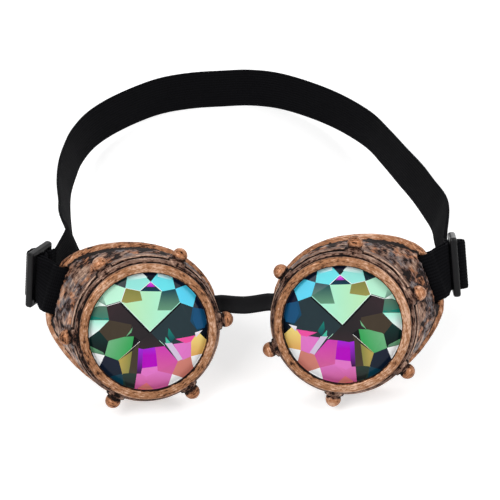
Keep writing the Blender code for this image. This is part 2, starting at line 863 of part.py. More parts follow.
def main():
    clear_scene()
    parts = new_collection("costume_goggles")
    cutters = new_collection("cutters")
    copper = make_material("antique_copper", (0.45, 0.22, 0.12), 0.42, 0.75)
    glass = make_material("faceted_glass", (0.45, 0.78, 0.72), 0.04, 0.0, 0.6)
    rubber = make_material("black_rubber", (0.02, 0.02, 0.02), 0.7)
    webbing = make_material("black_webbing", (0.015, 0.015, 0.017), 0.9)
    plastic = make_material("black_plastic", (0.02, 0.02, 0.022), 0.35)
    for side in (-1, 1):
        make_cup(side, parts, cutters, copper)
        make_lens_ring(side, parts, cutters, copper)
        make_lens(side, parts, cutters, glass)
        make_gasket(side, parts, rubber)
        make_slider(side, parts, cutters, plastic)
        make_strap_end(side, parts, webbing)
    make_bridge_strip(parts, rubber)
    make_head_strap(parts, webbing)
    bpy.context.view_layer.update()
    place_at_origin(parts, cutters)


main()
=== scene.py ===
"""Costume goggles, dressed for the picture: worn copper, cut glass, black elastic webbing."""

import json
import math

import bmesh
import bpy
from mathutils import Matrix, Vector, noise
from mathutils.geometry import delaunay_2d_cdt


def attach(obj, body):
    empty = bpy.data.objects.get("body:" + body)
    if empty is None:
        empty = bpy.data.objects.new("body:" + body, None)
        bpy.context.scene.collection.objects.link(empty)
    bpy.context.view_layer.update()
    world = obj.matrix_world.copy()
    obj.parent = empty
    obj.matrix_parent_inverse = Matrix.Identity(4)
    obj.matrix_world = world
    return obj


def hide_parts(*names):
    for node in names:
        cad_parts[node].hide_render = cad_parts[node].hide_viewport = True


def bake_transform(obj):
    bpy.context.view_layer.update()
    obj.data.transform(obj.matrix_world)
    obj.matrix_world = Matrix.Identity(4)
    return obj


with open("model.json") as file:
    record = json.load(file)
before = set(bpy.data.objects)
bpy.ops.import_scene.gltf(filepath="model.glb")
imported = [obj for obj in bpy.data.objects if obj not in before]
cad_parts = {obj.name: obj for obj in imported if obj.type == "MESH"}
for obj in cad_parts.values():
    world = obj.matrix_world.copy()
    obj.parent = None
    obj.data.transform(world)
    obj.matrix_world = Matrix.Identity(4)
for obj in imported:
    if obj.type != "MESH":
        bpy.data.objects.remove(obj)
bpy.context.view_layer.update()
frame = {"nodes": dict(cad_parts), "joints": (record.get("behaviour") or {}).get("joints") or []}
nodes = frame["nodes"]
joints = {joint["name"]: joint for joint in frame["joints"]}
side_names = {-1: "left", 1: "right"}

# Stance of the cups and their lens rings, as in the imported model
ring_front = {side: Vector(joints[name + "_ring_turn"]["pos_m"]) for side, name in side_names.items()}
tilt_back = math.radians(28)
toe_in = math.radians(8)
temple_direction = math.radians(18)

# Back plane of a cup's rim: its depth on the lens axis, and how it deepens towards the temple
seat_depth_mm = 25.96
seat_slope = 0.2

# Distances before that plane: the rolled rim is whole up to the first, and ends in the groove at the second
rim_whole_mm = 4.2
groove_begun_mm = 4.5

# Camera, set so that the middles of the two lenses fall where the photograph has them
camera_height_angle = math.radians(38)
camera_roll = math.radians(-1.95)
camera_distance = 1.313
camera_offset = (0.0019, 0.03184)
camera_lens = 234
sensor_width = 36


def display(red, green, blue):
    """Linear colour of a display colour given as 0 to 255."""
    def linear(value):
        share = value / 255
        return share / 12.92 if share <= 0.04045 else ((share + 0.055) / 1.055) ** 2.4
    return (linear(red), linear(green), linear(blue), 1.0)


def lens_frame(side):
    """Frame of a lens ring: x as the viewer sees it, y up, z forward, origin at the ring's front face."""
    return (
        Matrix.Translation(ring_front[side])
        @ Matrix.Rotation(-tilt_back, 4, "X")
        @ Matrix.Rotation(-side * toe_in, 4, "Z")
        @ Matrix.Rotation(math.pi / 2, 4, "X")
    )


def link_piece(name, data):
    """Object of a mesh, lamp or camera, in the scene."""
    piece = bpy.data.objects.new(name, data)
    bpy.context.scene.collection.objects.link(piece)
    return piece


def piece_from(shape, name):
    """Piece made from mesh work."""
    bmesh.ops.recalc_face_normals(shape, faces=shape.faces)
    mesh = bpy.data.meshes.new(name)
    shape.to_mesh(mesh)
    shape.free()
    return link_piece(name, mesh)


def evaluated_mesh(piece, name):
    """Mesh of a piece with its modifiers applied."""
    depsgraph = bpy.context.evaluated_depsgraph_get()
    mesh = bpy.data.meshes.new_from_object(piece.evaluated_get(depsgraph), depsgraph=depsgraph)
    mesh.name = name
    return mesh


def dress(mesh, material):
    """Give a mesh its one material."""
    mesh.materials.clear()
    mesh.materials.append(material)


class Sheet:
    """One node tree, with short calls to add nodes and join them."""

    def __init__(self, tree):
        self.tree = tree

    def put(self, socket, value):
        if isinstance(value, bpy.types.NodeSocket):
            self.tree.links.new(value, socket)
        else:
            socket.default_value = value

    def add(self, kind, inputs=None, **settings):
        made = self.tree.nodes.new(kind)
        for key, value in settings.items():
            setattr(made, key, value)
        for key, value in (inputs or {}).items():
            self.put(made.inputs[key], value)
        return made

    def maths(self, operation, first, second=0.0, third=0.0):
        return self.add("ShaderNodeMath", {0: first, 1: second, 2: third}, operation=operation).outputs[0]

    def blend(self, factor, first, second, mode="MIX"):
        made = self.add("ShaderNodeMix", {0: factor, 6: first, 7: second}, data_type="RGBA", blend_type=mode)
        return made.outputs[2]

    def ramp(self, factor, stops):
        made = self.add("ShaderNodeValToRGB", {0: factor})
        band = made.color_ramp
        while len(band.elements) < len(stops):
            band.elements.new(0.5)
        for element, (place, level) in zip(band.elements, stops):
            element.position = place
            element.color = (level, level, level, 1.0)
        return made.outputs[0]

    def noise(self, vector, scale, detail=4.0, roughness=0.55, distortion=0.0):
        return self.add("ShaderNodeTexNoise", {
            "Vector": vector, "Scale": scale, "Detail": detail, "Roughness": roughness,
            "Distortion": distortion,
        }).outputs[0]

    def spread(self, value, low, high, to_low=0.0, to_high=1.0):
        return self.add("ShaderNodeMapRange", {
            "Value": value, "From Min": low, "From Max": high, "To Min": to_low, "To Max": to_high,
        }).outputs[0]

    def stretch(self, vector, shares):
        return self.add("ShaderNodeVectorMath", {0: vector, 1: shares}, operation="MULTIPLY").outputs[0]

    def place(self):
        return self.add("ShaderNodeTexCoord").outputs["Object"]

    def group(self, tree, inputs):
        return self.add("ShaderNodeGroup", inputs, node_tree=tree).outputs

    def bump(self, height, strength, distance, normal=None):
        inputs = {"Height": height, "Strength": strength, "Distance": distance}
        if normal is not None:
            inputs["Normal"] = normal
        return self.add("ShaderNodeBump", inputs).outputs[0]


def new_group(name, inputs, outputs):
    """A shader node group with named sockets, given as (name, kind, default)."""
    tree = bpy.data.node_groups.new(name, "ShaderNodeTree")
    for label, kind, default in inputs:
        socket = tree.interface.new_socket(label, in_out="INPUT", socket_type=kind)
        if default is not None:
            socket.default_value = default
    for label, kind in outputs:
        tree.interface.new_socket(label, in_out="OUTPUT", socket_type=kind)
    sheet = Sheet(tree)
    return sheet, sheet.add("NodeGroupInput").outputs, sheet.add("NodeGroupOutput").inputs


def new_material(name):
    material = bpy.data.materials.new(name)
    material.use_nodes = True
    sheet = Sheet(material.node_tree)
    return material, sheet, material.node_tree.nodes["Principled BSDF"]


def finish_shader(sheet, shader, inputs):
    for key, value in inputs.items():
        sheet.put(shader.inputs[key], value)


def round_the_axis_group():
    """Radius, depth and way round the axis of a place on a turned piece, in millimetres."""
    sheet, given, out = new_group(
        "round_the_axis", (("Place", "NodeSocketVector", None),),
        (("Radius", "NodeSocketFloat"), ("Depth", "NodeSocketFloat"), ("Along", "NodeSocketVector")),
    )
    split = sheet.add("ShaderNodeSeparateXYZ", {0: given["Place"]}).outputs
    squares = sheet.maths("MULTIPLY_ADD", split[1], split[1], sheet.maths("MULTIPLY", split[0], split[0]))
    radius = sheet.maths("MULTIPLY", sheet.maths("SQRT", squares), 1000.0)
    depth = sheet.maths("MULTIPLY", split[2], -1000.0)
    angle = sheet.maths("ABSOLUTE", sheet.maths("ARCTAN2", split[0], split[1]))
    way = sheet.maths("MULTIPLY", angle, 26.0)
    along = sheet.add("ShaderNodeCombineXYZ", {0: way, 1: radius, 2: depth}).outputs[0]
    sheet.put(out["Radius"], radius)
    sheet.put(out["Depth"], depth)
    sheet.put(out["Along"], along)
    return sheet.tree


def worn_copper_group():
    """Copper paint brushed over a dark ground: dark hollows, brown streaks, copper and bright wear; the dark
    and bright ends also carry painted shade and painted highlights where a caller's Cover asks for them.
    """
    sheet, given, out = new_group(
        "worn_copper",
        (
            ("Along", "NodeSocketVector", None), ("Place", "NodeSocketVector", None),
            ("Copper", "NodeSocketColor", display(182, 126, 94)),
            ("Dark", "NodeSocketColor", display(24, 15, 13)),
            ("Cover", "NodeSocketFloat", 0.6), ("Streaks", "NodeSocketFloat", 0.5),
            ("Blotches", "NodeSocketFloat", 0.4),
        ),
        (("Color", "NodeSocketColor"), ("Roughness", "NodeSocketFloat"), ("Height", "NodeSocketFloat")),
    )
    streaks = sheet.noise(sheet.stretch(given["Along"], (0.2, 0.8, 0.8)), 1.0, 5.0, 0.62, 0.4)
    fine = sheet.noise(sheet.stretch(given["Along"], (0.55, 1.9, 1.9)), 1.0, 3.0, 0.6)
    blotches = sheet.noise(given["Place"], 240.0, 5.0, 0.66, 0.6)
    pits = sheet.noise(given["Place"], 780.0, 3.0, 0.66)
    wear = sheet.noise(given["Place"], 45.0, 2.0, 0.5)

    def swing(level, texture, gain):
        return sheet.maths("MULTIPLY_ADD", sheet.maths("SUBTRACT", texture, 0.5), gain, level)

    level = swing(given["Cover"], streaks, sheet.maths("MULTIPLY", given["Streaks"], 4.0))
    level = swing(level, blotches, sheet.maths("MULTIPLY", given["Blotches"], 4.0))
    for texture, gain in ((fine, 1.9), (pits, 0.8), (wear, 1.2)):
        level = swing(level, texture, gain)
    brown = sheet.blend(0.78, given["Copper"], display(70, 34, 20))
    bright = sheet.blend(0.5, given["Copper"], display(244, 206, 180))
    # The dark end also shows painted shade where a caller lowers Cover for it, and the bright end a painted
    # highlight where a caller raises Cover
    colour = sheet.blend(sheet.spread(level, 0.08, 0.3), given["Dark"], brown)
    colour = sheet.blend(sheet.spread(level, 0.3, 0.56), colour, given["Copper"])
    colour = sheet.blend(sheet.spread(level, 0.76, 1.12), colour, bright)
    mask = sheet.spread(level, 0.15, 0.5)
    height = sheet.maths("MULTIPLY_ADD", streaks, 0.4, sheet.maths("MULTIPLY", pits, 0.3))
    height = sheet.maths("MULTIPLY_ADD", mask, 0.4, height)
    sheet.put(out["Color"], colour)
    sheet.put(out["Roughness"], sheet.spread(mask, 0.0, 1.0, 0.72, 0.44))
    sheet.put(out["Height"], height)
    return sheet.tree


round_the_axis = round_the_axis_group()
worn_copper = worn_copper_group()


def place_round(sheet, side):
    """Place, and the same place in the lens frame of a side."""
    place = sheet.place()
    matrix = lens_frame(side)
    local = sheet.add("ShaderNodeMapping", vector_type="TEXTURE", inputs={
        "Vector": place, "Location": matrix.to_translation(), "Rotation": matrix.to_euler(),
    }).outputs[0]
    return place, local


lip_tone = display(154, 107, 74)
bead_tone = display(124, 96, 82)
dome_tone = display(166, 112, 77)
rim_tone = display(162, 110, 76)
wall_tone = display(138, 107, 90)
wall_patch_tone = display(174, 116, 80)
wall_grey_tone = display(100, 98, 102)
dark_ground_and_groove_shade_tone = display(16, 9, 8)


def ring_material(side):
    """Lens ring: brushed lip, brown bead and flange, copper domes; painted shade darkens the grooves, the
    back, the bore's edge and the studs' feet, and painted highlights lighten the bead's crest and the
    flange's edges.
    """
    material, sheet, shader = new_material(side_names[side] + "_ring_copper")
    place, local = place_round(sheet, side)
    turned = sheet.group(round_the_axis, {"Place": local})
    first_depth, last_depth = -0.5, 13.0
    reach = sheet.spread(turned["Depth"], first_depth, last_depth)
    # Cover by depth: copper on the lip, painted shade in the two grooves and behind the flange (0), painted
    # highlights on the bead's crest (5.4) and on the flange's front and back edges
    cover_shade_highlight_by_depth = (
        (-0.5, 0.74), (1.3, 0.68), (1.7, 0.0), (4.12, 0.0), (4.2, 0.35), (4.6, 0.5),
        (5.4, 0.72), (5.9, 0.5), (6.4, 0.0), (7.74, 0.0), (7.86, 0.9), (8.4, 0.8),
        (8.8, 0.46), (10.8, 0.42), (11.6, 0.6), (12.1, 0.0),
    )
    deepest = 0.45
    cover = sheet.ramp(reach, [
        ((depth - first_depth) / (last_depth - first_depth), level + deepest) for depth, level in cover_shade_highlight_by_depth])
    # Painted shade: the grooves are darkened further
    groove_shade_deepening = sheet.spread(cover, deepest, deepest + 0.25, 1.0, 0.0)
    cover = sheet.maths("MULTIPLY_ADD", groove_shade_deepening, -0.5, sheet.maths("SUBTRACT", cover, deepest))
    # Painted shade on the lip's rounded inner edge and in the bore
    outside_bore_shade = sheet.spread(turned["Radius"], 24.4, 24.7)
    cover = sheet.maths("MULTIPLY_ADD", sheet.maths("SUBTRACT", outside_bore_shade, 1.0), 1.3, cover)
    dome = sheet.spread(turned["Radius"], 31.7, 32.4)
    # Painted shade round the foot of each stud, where it meets the flange
    foot_shade_start = sheet.spread(turned["Radius"], 30.35, 30.7)
    foot_shade_end = sheet.spread(turned["Radius"], 32.2, 31.6)
    cover_with_foot_shade = sheet.maths("MULTIPLY_ADD", sheet.maths("MULTIPLY", foot_shade_start, foot_shade_end), -0.4, cover)
    cover = sheet.maths("MAXIMUM", sheet.maths("MULTIPLY", dome, 0.66), cover_with_foot_shade)
    tone = sheet.blend(sheet.spread(turned["Depth"], 1.7, 2.3), lip_tone, bead_tone)
    tone = sheet.blend(dome, tone, dome_tone)
    worn = sheet.group(worn_copper, {
        "Along": turned["Along"], "Place": place, "Copper": tone, "Dark": dark_ground_and_groove_shade_tone,
        "Cover": cover, "Streaks": 0.46, "Blotches": 0.24,
    })
    finish_shader(sheet, shader, {
        "Base Color": worn["Color"], "Roughness": worn["Roughness"], "Metallic": 0.5,
        "Specular IOR Level": 0.2, "Normal": sheet.bump(worn["Height"], 0.5, 0.0004),
    })
    return material


def cup_material(side):
    """Cup: rolled copper rim, a groove before it darkened with painted shade that widens at the top, and a
    mottled wall with copper on its high spots, darkened with painted shade towards the top.
    """
    material, sheet, shader = new_material(side_names[side] + "_cup_copper")
    place, local = place_round(sheet, side)
    turned = sheet.group(round_the_axis, {"Place": local})
    relief = sheet.add("ShaderNodeVertexColor", layer_name="cast_relief").outputs[0]
    across = sheet.add("ShaderNodeSeparateXYZ", {0: local}).outputs
    to_temple = sheet.maths(
        "MULTIPLY_ADD", across[0], side * math.cos(temple_direction) * 1000,
        sheet.maths("MULTIPLY", across[1], math.sin(temple_direction) * 1000))
    seat = sheet.maths("MULTIPLY_ADD", to_temple, seat_slope, seat_depth_mm)
    ragged = sheet.maths("MULTIPLY", sheet.maths("SUBTRACT", sheet.noise(place, 420.0, 3.0, 0.6), 0.5), 3.0)
    before_seat = sheet.maths("ADD", sheet.maths("SUBTRACT", seat, turned["Depth"]), ragged)
    rim = sheet.spread(before_seat, groove_begun_mm, rim_whole_mm)
    radius = sheet.maths("MULTIPLY", turned["Radius"], 0.001)
    # Painted shade towards the top of the cup: it widens the dark groove and darkens the wall there
    upper = sheet.spread(sheet.maths("DIVIDE", across[1], radius), 0.72, 0.96)
    groove_shade_end = sheet.spread(sheet.maths("MULTIPLY_ADD", upper, -3.5, before_seat), 6.4, 5.2)
    # Painted shade in the groove before the rim, with a ragged edge
    groove = sheet.maths("MULTIPLY", sheet.spread(before_seat, rim_whole_mm, groove_begun_mm), groove_shade_end)
    wall = sheet.spread(relief, 0.25, 0.75, 0.1, 0.8)
    # Painted shade: the wall is darker towards the top
    wall = sheet.maths("MULTIPLY_ADD", upper, -0.22, wall)
    unpainted = sheet.add("ShaderNodeVertexColor", layer_name="cast_inside").outputs[0]
    on_wall = sheet.maths("MULTIPLY", wall, sheet.maths("SUBTRACT", 1.0, rim))
    cover = sheet.maths("ADD", sheet.maths("MULTIPLY", rim, 0.62), on_wall)
    cover = sheet.maths("MULTIPLY_ADD", groove, -0.9, cover)
    cover = sheet.maths("MULTIPLY_ADD", unpainted, -0.95, cover)
    patches = sheet.spread(sheet.noise(place, 150.0, 3.0, 0.55, 0.5), 0.5, 0.62)
    grey = sheet.spread(sheet.noise(place, 105.0, 4.0, 0.6, 0.4), 0.56, 0.44)
    tone = sheet.blend(grey, wall_tone, wall_grey_tone)
    tone = sheet.blend(rim, sheet.blend(patches, tone, wall_patch_tone), rim_tone)
    worn = sheet.group(worn_copper, {
        "Along": turned["Along"], "Place": place, "Copper": tone, "Dark": display(20, 13, 12),
        "Cover": cover, "Streaks": 0.2, "Blotches": 0.5,
    })
    finish_shader(sheet, shader, {
        "Base Color": worn["Color"], "Roughness": worn["Roughness"], "Metallic": 0.4,
        "Specular IOR Level": 0.2, "Normal": sheet.bump(worn["Height"], 0.7, 0.0006),
    })
    return material


def moulded_black_material(name, tone, roughness, grain, coat=0.0):
    """Moulded black plastic or rubber with a faint grain."""
    material, sheet, shader = new_material(name)
    place = sheet.place()
    fine = sheet.noise(place, 1400.0, 3.0, 0.6)
    broad = sheet.noise(place, 120.0, 3.0, 0.5)
    rubbed = tuple(min(1.0, part * 1.6) for part in tone[:3]) + (1.0,)
    finish_shader(sheet, shader, {
        "Base Color": sheet.blend(sheet.spread(broad, 0.35, 0.65), tone, rubbed),
        "Roughness": sheet.spread(broad, 0.3, 0.7, roughness - 0.05, roughness + 0.08),
        "Coat Weight": coat, "Coat Roughness": 0.25, "Specular IOR Level": 0.1,
        "Normal": sheet.bump(fine, grain, 0.0002),
    })
    return material


def webbing_material():
    """Black elastic webbing: fine picks across its cords, faded patches and a little lint."""
    material, sheet, shader = new_material("black_webbing_weave")
    split = sheet.add("ShaderNodeSeparateXYZ", {0: sheet.add("ShaderNodeUVMap").outputs[0]}).outputs
    place = sheet.place()
    cords = sheet.maths("COSINE", sheet.maths("MULTIPLY", split[0], 2 * math.pi * webbing_cords))
    lean = sheet.maths("MULTIPLY", cords, 1.3)
    picks = sheet.maths("SINE", sheet.maths("MULTIPLY_ADD", split[1], 2 * math.pi / pick_pitch_mm, lean))
    weave = sheet.maths("MULTIPLY_ADD", picks, 0.35, sheet.maths("MULTIPLY", cords, 0.5))
    lint = sheet.noise(place, 700.0, 4.0, 0.7)
    faded = sheet.noise(place, 60.0, 3.0, 0.5)
    colour = sheet.blend(sheet.spread(weave, -0.8, 0.8), display(4, 4, 5), display(20, 20, 23))
    colour = sheet.blend(sheet.spread(faded, 0.4, 0.7, 0.0, 0.5), colour, display(9, 9, 11))
    colour = sheet.blend(sheet.spread(lint, 0.68, 0.8, 0.0, 0.5), colour, display(52, 52, 57))
    finish_shader(sheet, shader, {
        "Base Color": colour, "Roughness": 0.9, "Specular IOR Level": 0.05,
        "Normal": sheet.bump(weave, 0.5, 0.0002),
    })
    return material


def cut_glass_material():
    """Coloured facets of the cut glass under a clear gloss; each facet's tone is partly the glass's dichroic
    tint and partly a painted reflection or refraction of its surroundings.
    """
    material, sheet, shader = new_material("cut_glass_colours")
    tone = sheet.add("ShaderNodeVertexColor", layer_name="facet_tone").outputs[0]
    cloud = sheet.noise(sheet.place(), 260.0, 3.0, 0.5)
    pale = sheet.blend(0.3, tone, tone, "SCREEN")
    finish_shader(sheet, shader, {
        "Base Color": sheet.blend(sheet.spread(cloud, 0.45, 0.75, 0.0, 0.2), tone, pale),
        "Roughness": 0.1, "Coat Weight": 0.1, "Coat Roughness": 0.03, "Specular IOR Level": 0.08,
    })
    return material


# Cut glass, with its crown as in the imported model
crown_radius = 0.0240
crown_height = 0.0032
star_radius = crown_radius * 0.735
star_height = 0.00233
point_radius = crown_radius * 0.863
point_height = 0.00141
table_slope = 0.060
rim_slope = 0.47
flange_radius = 0.0254
flange_thickness = 0.0024
back_depth = 0.0026
back_land = 0.0020
glass_front_depth = 0.0025
pattern_turn = {-1: math.radians(-4.3), 1: math.radians(-1.2)}
pattern_shift = {-1: (0.022, 0.010), 1: (-0.012, 0.018)}
pattern_inset = 0.045
border_steps = 96
back_tones = ("petrol", "teal", "mint", "leaf", "coal", "magenta", "rose", "deep_blue")

glass_tones = {
    "black": (10, 12, 16), "navy": (20, 26, 48), "ink": (16, 30, 46), "deep_blue": (20, 80, 122),
    "petrol": (12, 58, 76), "teal": (20, 128, 112), "sea": (70, 186, 156), "pine": (10, 50, 46),
    "fern": (98, 148, 118), "moss": (128, 128, 66), "olive": (152, 146, 78), "gold": (186, 162, 84),
    "bark": (66, 56, 44), "umber": (50, 38, 42), "slate": (36, 52, 58), "coal": (36, 34, 36),
    "leaf": (44, 158, 80), "leaf_pale": (110, 176, 126), "mint": (184, 240, 210),
    "lime_mint": (188, 230, 176), "aqua_mint": (164, 240, 216), "aqua": (150, 230, 220),
    "cyan": (96, 222, 232), "sky": (78, 210, 242), "frost": (214, 246, 230), "white": (255, 255, 255),
    "grey_green": (84, 118, 98), "dark_green": (38, 58, 50),
    "violet": (160, 36, 214), "magenta": (176, 0, 186), "orchid": (228, 84, 232),
    "fuchsia": (204, 58, 174), "hot_pink": (234, 78, 158), "pink": (222, 116, 196), "rose": (208, 94, 150),
    "salmon": (210, 128, 114), "coral": (228, 108, 122), "lilac": (208, 192, 218), "orange": (228, 168, 92),
    "yellow": (248, 226, 130), "plum": (54, 18, 58),
}


def on_circle(radius, degrees):
    """Point of the pattern on a circle, in shares of the crown's radius."""
    share = radius / crown_radius
    return (share * math.cos(math.radians(degrees)), share * math.sin(math.radians(degrees)))


def vee(degrees):
    """Corner of the table, where two star facets meet."""
    return on_circle(star_radius, degrees)


def tip(degrees):
    """Outer point of a star facet."""
    return on_circle(point_radius, degrees)


def edge(degrees):
    """Point on the border of the crown."""
    return on_circle(crown_radius, degrees)


def rim_cell(middle):
    border = [edge(middle - 7.5), edge(middle), edge(middle + 7.5)]
    return [vee(middle), tip(middle - 15), *border, tip(middle + 15)]


def rim_triangle(middle):
    return [tip(middle), edge(middle - 7.5), edge(middle), edge(middle + 7.5)]


def star_facet(middle):
    return [vee(middle - 15), tip(middle), vee(middle + 15)]


def table_facet(middle):
    return [(0.0, 0.0), vee(middle - 45), vee(middle - 15), vee(middle + 15), vee(middle + 45)]


def edge_line(start, end, width, tone, last_tone=None):
    """Thin quad along an edge, on its left, as shares of the crown's radius."""
    run = Vector(end) - Vector(start)
    across = Vector((-run.y, run.x)).normalized() * width
    outline = [tuple(start), tuple(end), tuple(Vector(end) + across), tuple(Vector(start) + across)]
    return (tone, last_tone or tone, 0, outline)


# Facet tones: partly the glass's dichroic tint, partly painted reflections and refractions, white where the
# background shows through and black and navy where the cup's dark inside does
table_tones = {90: ("lime_mint", "aqua_mint", 0), 180: ("umber", "coal", -60), 270: ("coal", "coal", 0),
               0: ("slate", "slate", 0)}
star_tones = {
    0: ("slate", "slate"), 30: ("slate", "slate"), 60: ("petrol", "fern"), 90: ("navy", "petrol"),
    120: ("moss", "olive"), 150: ("umber", "umber"), 180: ("bark", "bark"), 210: ("leaf_pale", "leaf"),
    240: ("olive", "bark"), 270: ("orchid", "pink"), 300: ("fuchsia", "fuchsia"), 330: ("pink", "pink"),
}
cell_tones = {
    15: ("deep_blue", "petrol"), 45: ("sky", "sky"), 75: ("cyan", "cyan"), 105: ("aqua", "aqua"),
    135: ("mint", "mint"), 165: ("grey_green", "teal"), 195: ("pine", "black"), 225: ("navy", "ink"),
    255: ("dark_green", "dark_green"), 285: ("rose", "coral"), 315: ("salmon", "salmon"),
    345: ("yellow", "orange"),
}
triangle_tones = {
    0: ("ink", "black"), 30: ("navy", "navy"), 60: ("navy", "ink"), 90: ("navy", "black"),
    120: ("pine", "ink"), 150: ("mint", "pine"), 180: ("white", "mint"), 210: ("white", "white"),
    240: ("petrol", "petrol"), 270: ("coral", "coral"), 300: ("white", "white"), 330: ("white", "white"),
}

# Reflections of the back facets: tone at the start, tone at the end, direction of change, outline
seen_through = [
    ("moss", "olive", -90, [vee(135), tip(120), vee(105), (-0.15, 0.55), (-0.43, 0.50)]),
    ("petrol", "fern", -90, [tip(60), vee(75), (0.12, 0.38), (0.38, 0.385), vee(45)]),
    ("orchid", "magenta", -90, [tip(90), (0.075, 0.785), (-0.075, 0.785)]),
    ("white", "aqua", -90, [edge(112.5), edge(105), edge(97.5), (-0.05, 0.93), (-0.38, 0.86)]),
    ("white", "cyan", -90, [edge(82.5), edge(75), edge(67.5), (0.36, 0.88), (0.13, 0.94)]),
    ("teal", "teal", -90, [vee(165), (-0.99, 0.25), (-0.98, 0.17), (-0.73, 0.23)]),
    ("aqua_mint", "white", -90, [vee(165), tip(180), edge(187.5), edge(180), (-0.99, 0.17)]),
    ("mint", "white", 0, [tip(150), (-0.86, 0.42), edge(157.5), edge(150)]),
    ("umber", "coal", -60, [vee(135), vee(165), (-0.60, 0.17), (-0.33, 0.10), (0.0, 0.0)]),
    ("bark", "bark", -90, [
        vee(165), (-0.33, 0.12), (-0.33, 0.02), (-0.44, -0.10), (-0.69, -0.17), vee(195), tip(180)]),
    ("leaf_pale", "leaf", -20, [
        vee(195), (-0.69, -0.17), (-0.44, -0.10), (-0.28, -0.09), (-0.31, -0.31), vee(225), tip(210)]),
    ("leaf_pale", "leaf_pale", -90, [(-0.31, 0.07), (-0.42, -0.10), (-0.33, -0.02)]),
    ("black", "black", -90, [(-0.28, -0.09), (-0.16, -0.17), (-0.31, -0.31)]),
    ("leaf_pale", "grey_green", -90, [edge(196), tip(206), tip(210), edge(202.5)]),
    ("gold", "moss", 0, [vee(225), (-0.30, -0.35), (-0.33, -0.74), (-0.44, -0.76), tip(240)]),
    ("bark", "bark", -90, [(-0.30, -0.35), (-0.17, -0.20), (-0.19, -0.75), (-0.33, -0.74)]),
    ("dark_green", "coal", -90, [tip(240), (-0.33, -0.74), (-0.19, -0.75), (-0.19, -0.98), edge(250)]),
    ("coal", "umber", -90, [
        (0.0, 0.0), (-0.17, -0.18), (-0.19, -0.29), (-0.10, -0.32),
        (0.10, -0.29), (0.27, -0.25), (0.17, -0.19)]),
    ("violet", "plum", -90, [(-0.19, -0.30), (-0.10, -0.32), (-0.12, -0.75), (-0.19, -0.75)]),
    ("violet", "magenta", -90, [(-0.11, -0.32), (0.10, -0.28), (0.13, -0.42), (-0.11, -0.43)]),
    ("magenta", "magenta", -90, [(-0.11, -0.43), (0.13, -0.42), (0.16, -0.62), (-0.11, -0.66)]),
    ("fuchsia", "rose", -90, [
        (0.10, -0.28), (0.27, -0.26), vee(315), tip(300), (0.17, -0.70), (0.16, -0.62), (0.13, -0.42)]),
    ("pink", "pink", -90, [(-0.11, -0.66), (0.16, -0.62), (0.17, -0.70), (-0.02, -0.80), (-0.12, -0.75)]),
    ("pink", "rose", -90, [
        (-0.19, -0.75), (-0.12, -0.75), (-0.02, -0.80), (0.17, -0.70), tip(300), edge(292.5),
        edge(285), edge(277.5), edge(270), edge(261), (-0.19, -0.98)]),
    ("coral", "salmon", -90, [(0.0, -0.90), edge(262), edge(270), edge(277)]),
    ("pink", "pink", -90, [(0.42, -0.22), (0.74, -0.17), tip(330), (0.60, -0.50)]),
    ("salmon", "salmon", -90, [
        vee(315), (0.60, -0.50), tip(330), edge(322.5), edge(315), edge(307.5), tip(300)]),
    ("lilac", "lilac", -90, [(0.27, -0.20), (0.40, -0.20), (0.60, -0.48), vee(315)]),
    ("hot_pink", "hot_pink", -90, [(0.46, -0.13), (0.81, -0.06), (0.74, -0.17), (0.64, -0.20)]),
    ("teal", "petrol", -90, [(0.33, 0.07), (0.45, -0.10), (0.38, -0.20), (0.32, -0.06)]),
    ("sea", "sea", -90, [(0.28, -0.09), (0.38, -0.20), (0.29, -0.21)]),
    ("white", "lilac", -90, [(0.80, -0.01), (0.93, 0.03), (0.82, -0.10)]),
    ("deep_blue", "deep_blue", -90, [
        (0.78, 0.39), (0.89, 0.40), (0.98, 0.20), (0.97, 0.07), (0.83, 0.05), (0.75, 0.22)]),
]

# Painted glints in pale tones along facet edges, and painted shadow bands in black beside them
edge_width = 0.012
edge_glints_and_shadows = [
    edge_line(vee(135), (0.0, 0.0), edge_width, "frost"),
    edge_line((0.0, 0.0), vee(45), edge_width, "frost", "aqua_mint"),
    edge_line((0.0, 0.0), vee(135), edge_width * 3, "black"),
    edge_line(vee(45), (0.0, 0.0), edge_width * 2.4, "black"),
    edge_line(vee(105), tip(90), edge_width * 0.7, "white"),
    edge_line(tip(90), vee(75), edge_width * 0.7, "white"),
    edge_line(vee(225), (-0.17, -0.18), edge_width * 0.6, "gold", "white"),
    edge_line(tip(120), vee(135), edge_width * 0.6, "white"),
    edge_line(vee(135), tip(150), edge_width * 0.6, "white"),
    edge_line(tip(150), vee(135), edge_width * 0.9, "black"),
    edge_line(tip(120), vee(105), edge_width * 0.5, "white"),
    edge_line((0.17, -0.16), (0.27, -0.25), edge_width * 0.6, "mint"),
]


def glass_patches():
    """Every patch as (tone at the start, tone at the end, direction of change in degrees, outline)."""
    patches = [(start, end, turn, table_facet(middle)) for middle, (start, end, turn) in table_tones.items()]
    for tones, outline in ((star_tones, star_facet), (cell_tones, rim_cell), (triangle_tones, rim_triangle)):
        patches += [(start, end, -90, outline(middle)) for middle, (start, end) in tones.items()]
    return patches + seen_through + edge_glints_and_shadows


def crown_level(x, y):
    """Height of the cut crown above the flange at a place."""
    level = crown_height - table_slope * max(abs(x), abs(y))
    star_reach = star_radius * math.cos(math.pi / 12)
    slope_star = (star_height - point_height) / (point_radius - star_reach)
    slope_cell = (star_height - point_height) / (point_radius * math.cos(math.pi / 12) - star_radius)
    for index in range(12):
        for turn, slope, radius, height in (
            (0.0, slope_star, star_reach, star_height),
            (math.pi / 12, slope_cell, star_radius, star_height),
            (0.0, rim_slope, point_radius, point_height),
        ):
            azimuth = index * math.pi / 6 + turn
            reach = x * math.cos(azimuth) + y * math.sin(azimuth)
            level = min(level, height - slope * (reach - radius))
    return level


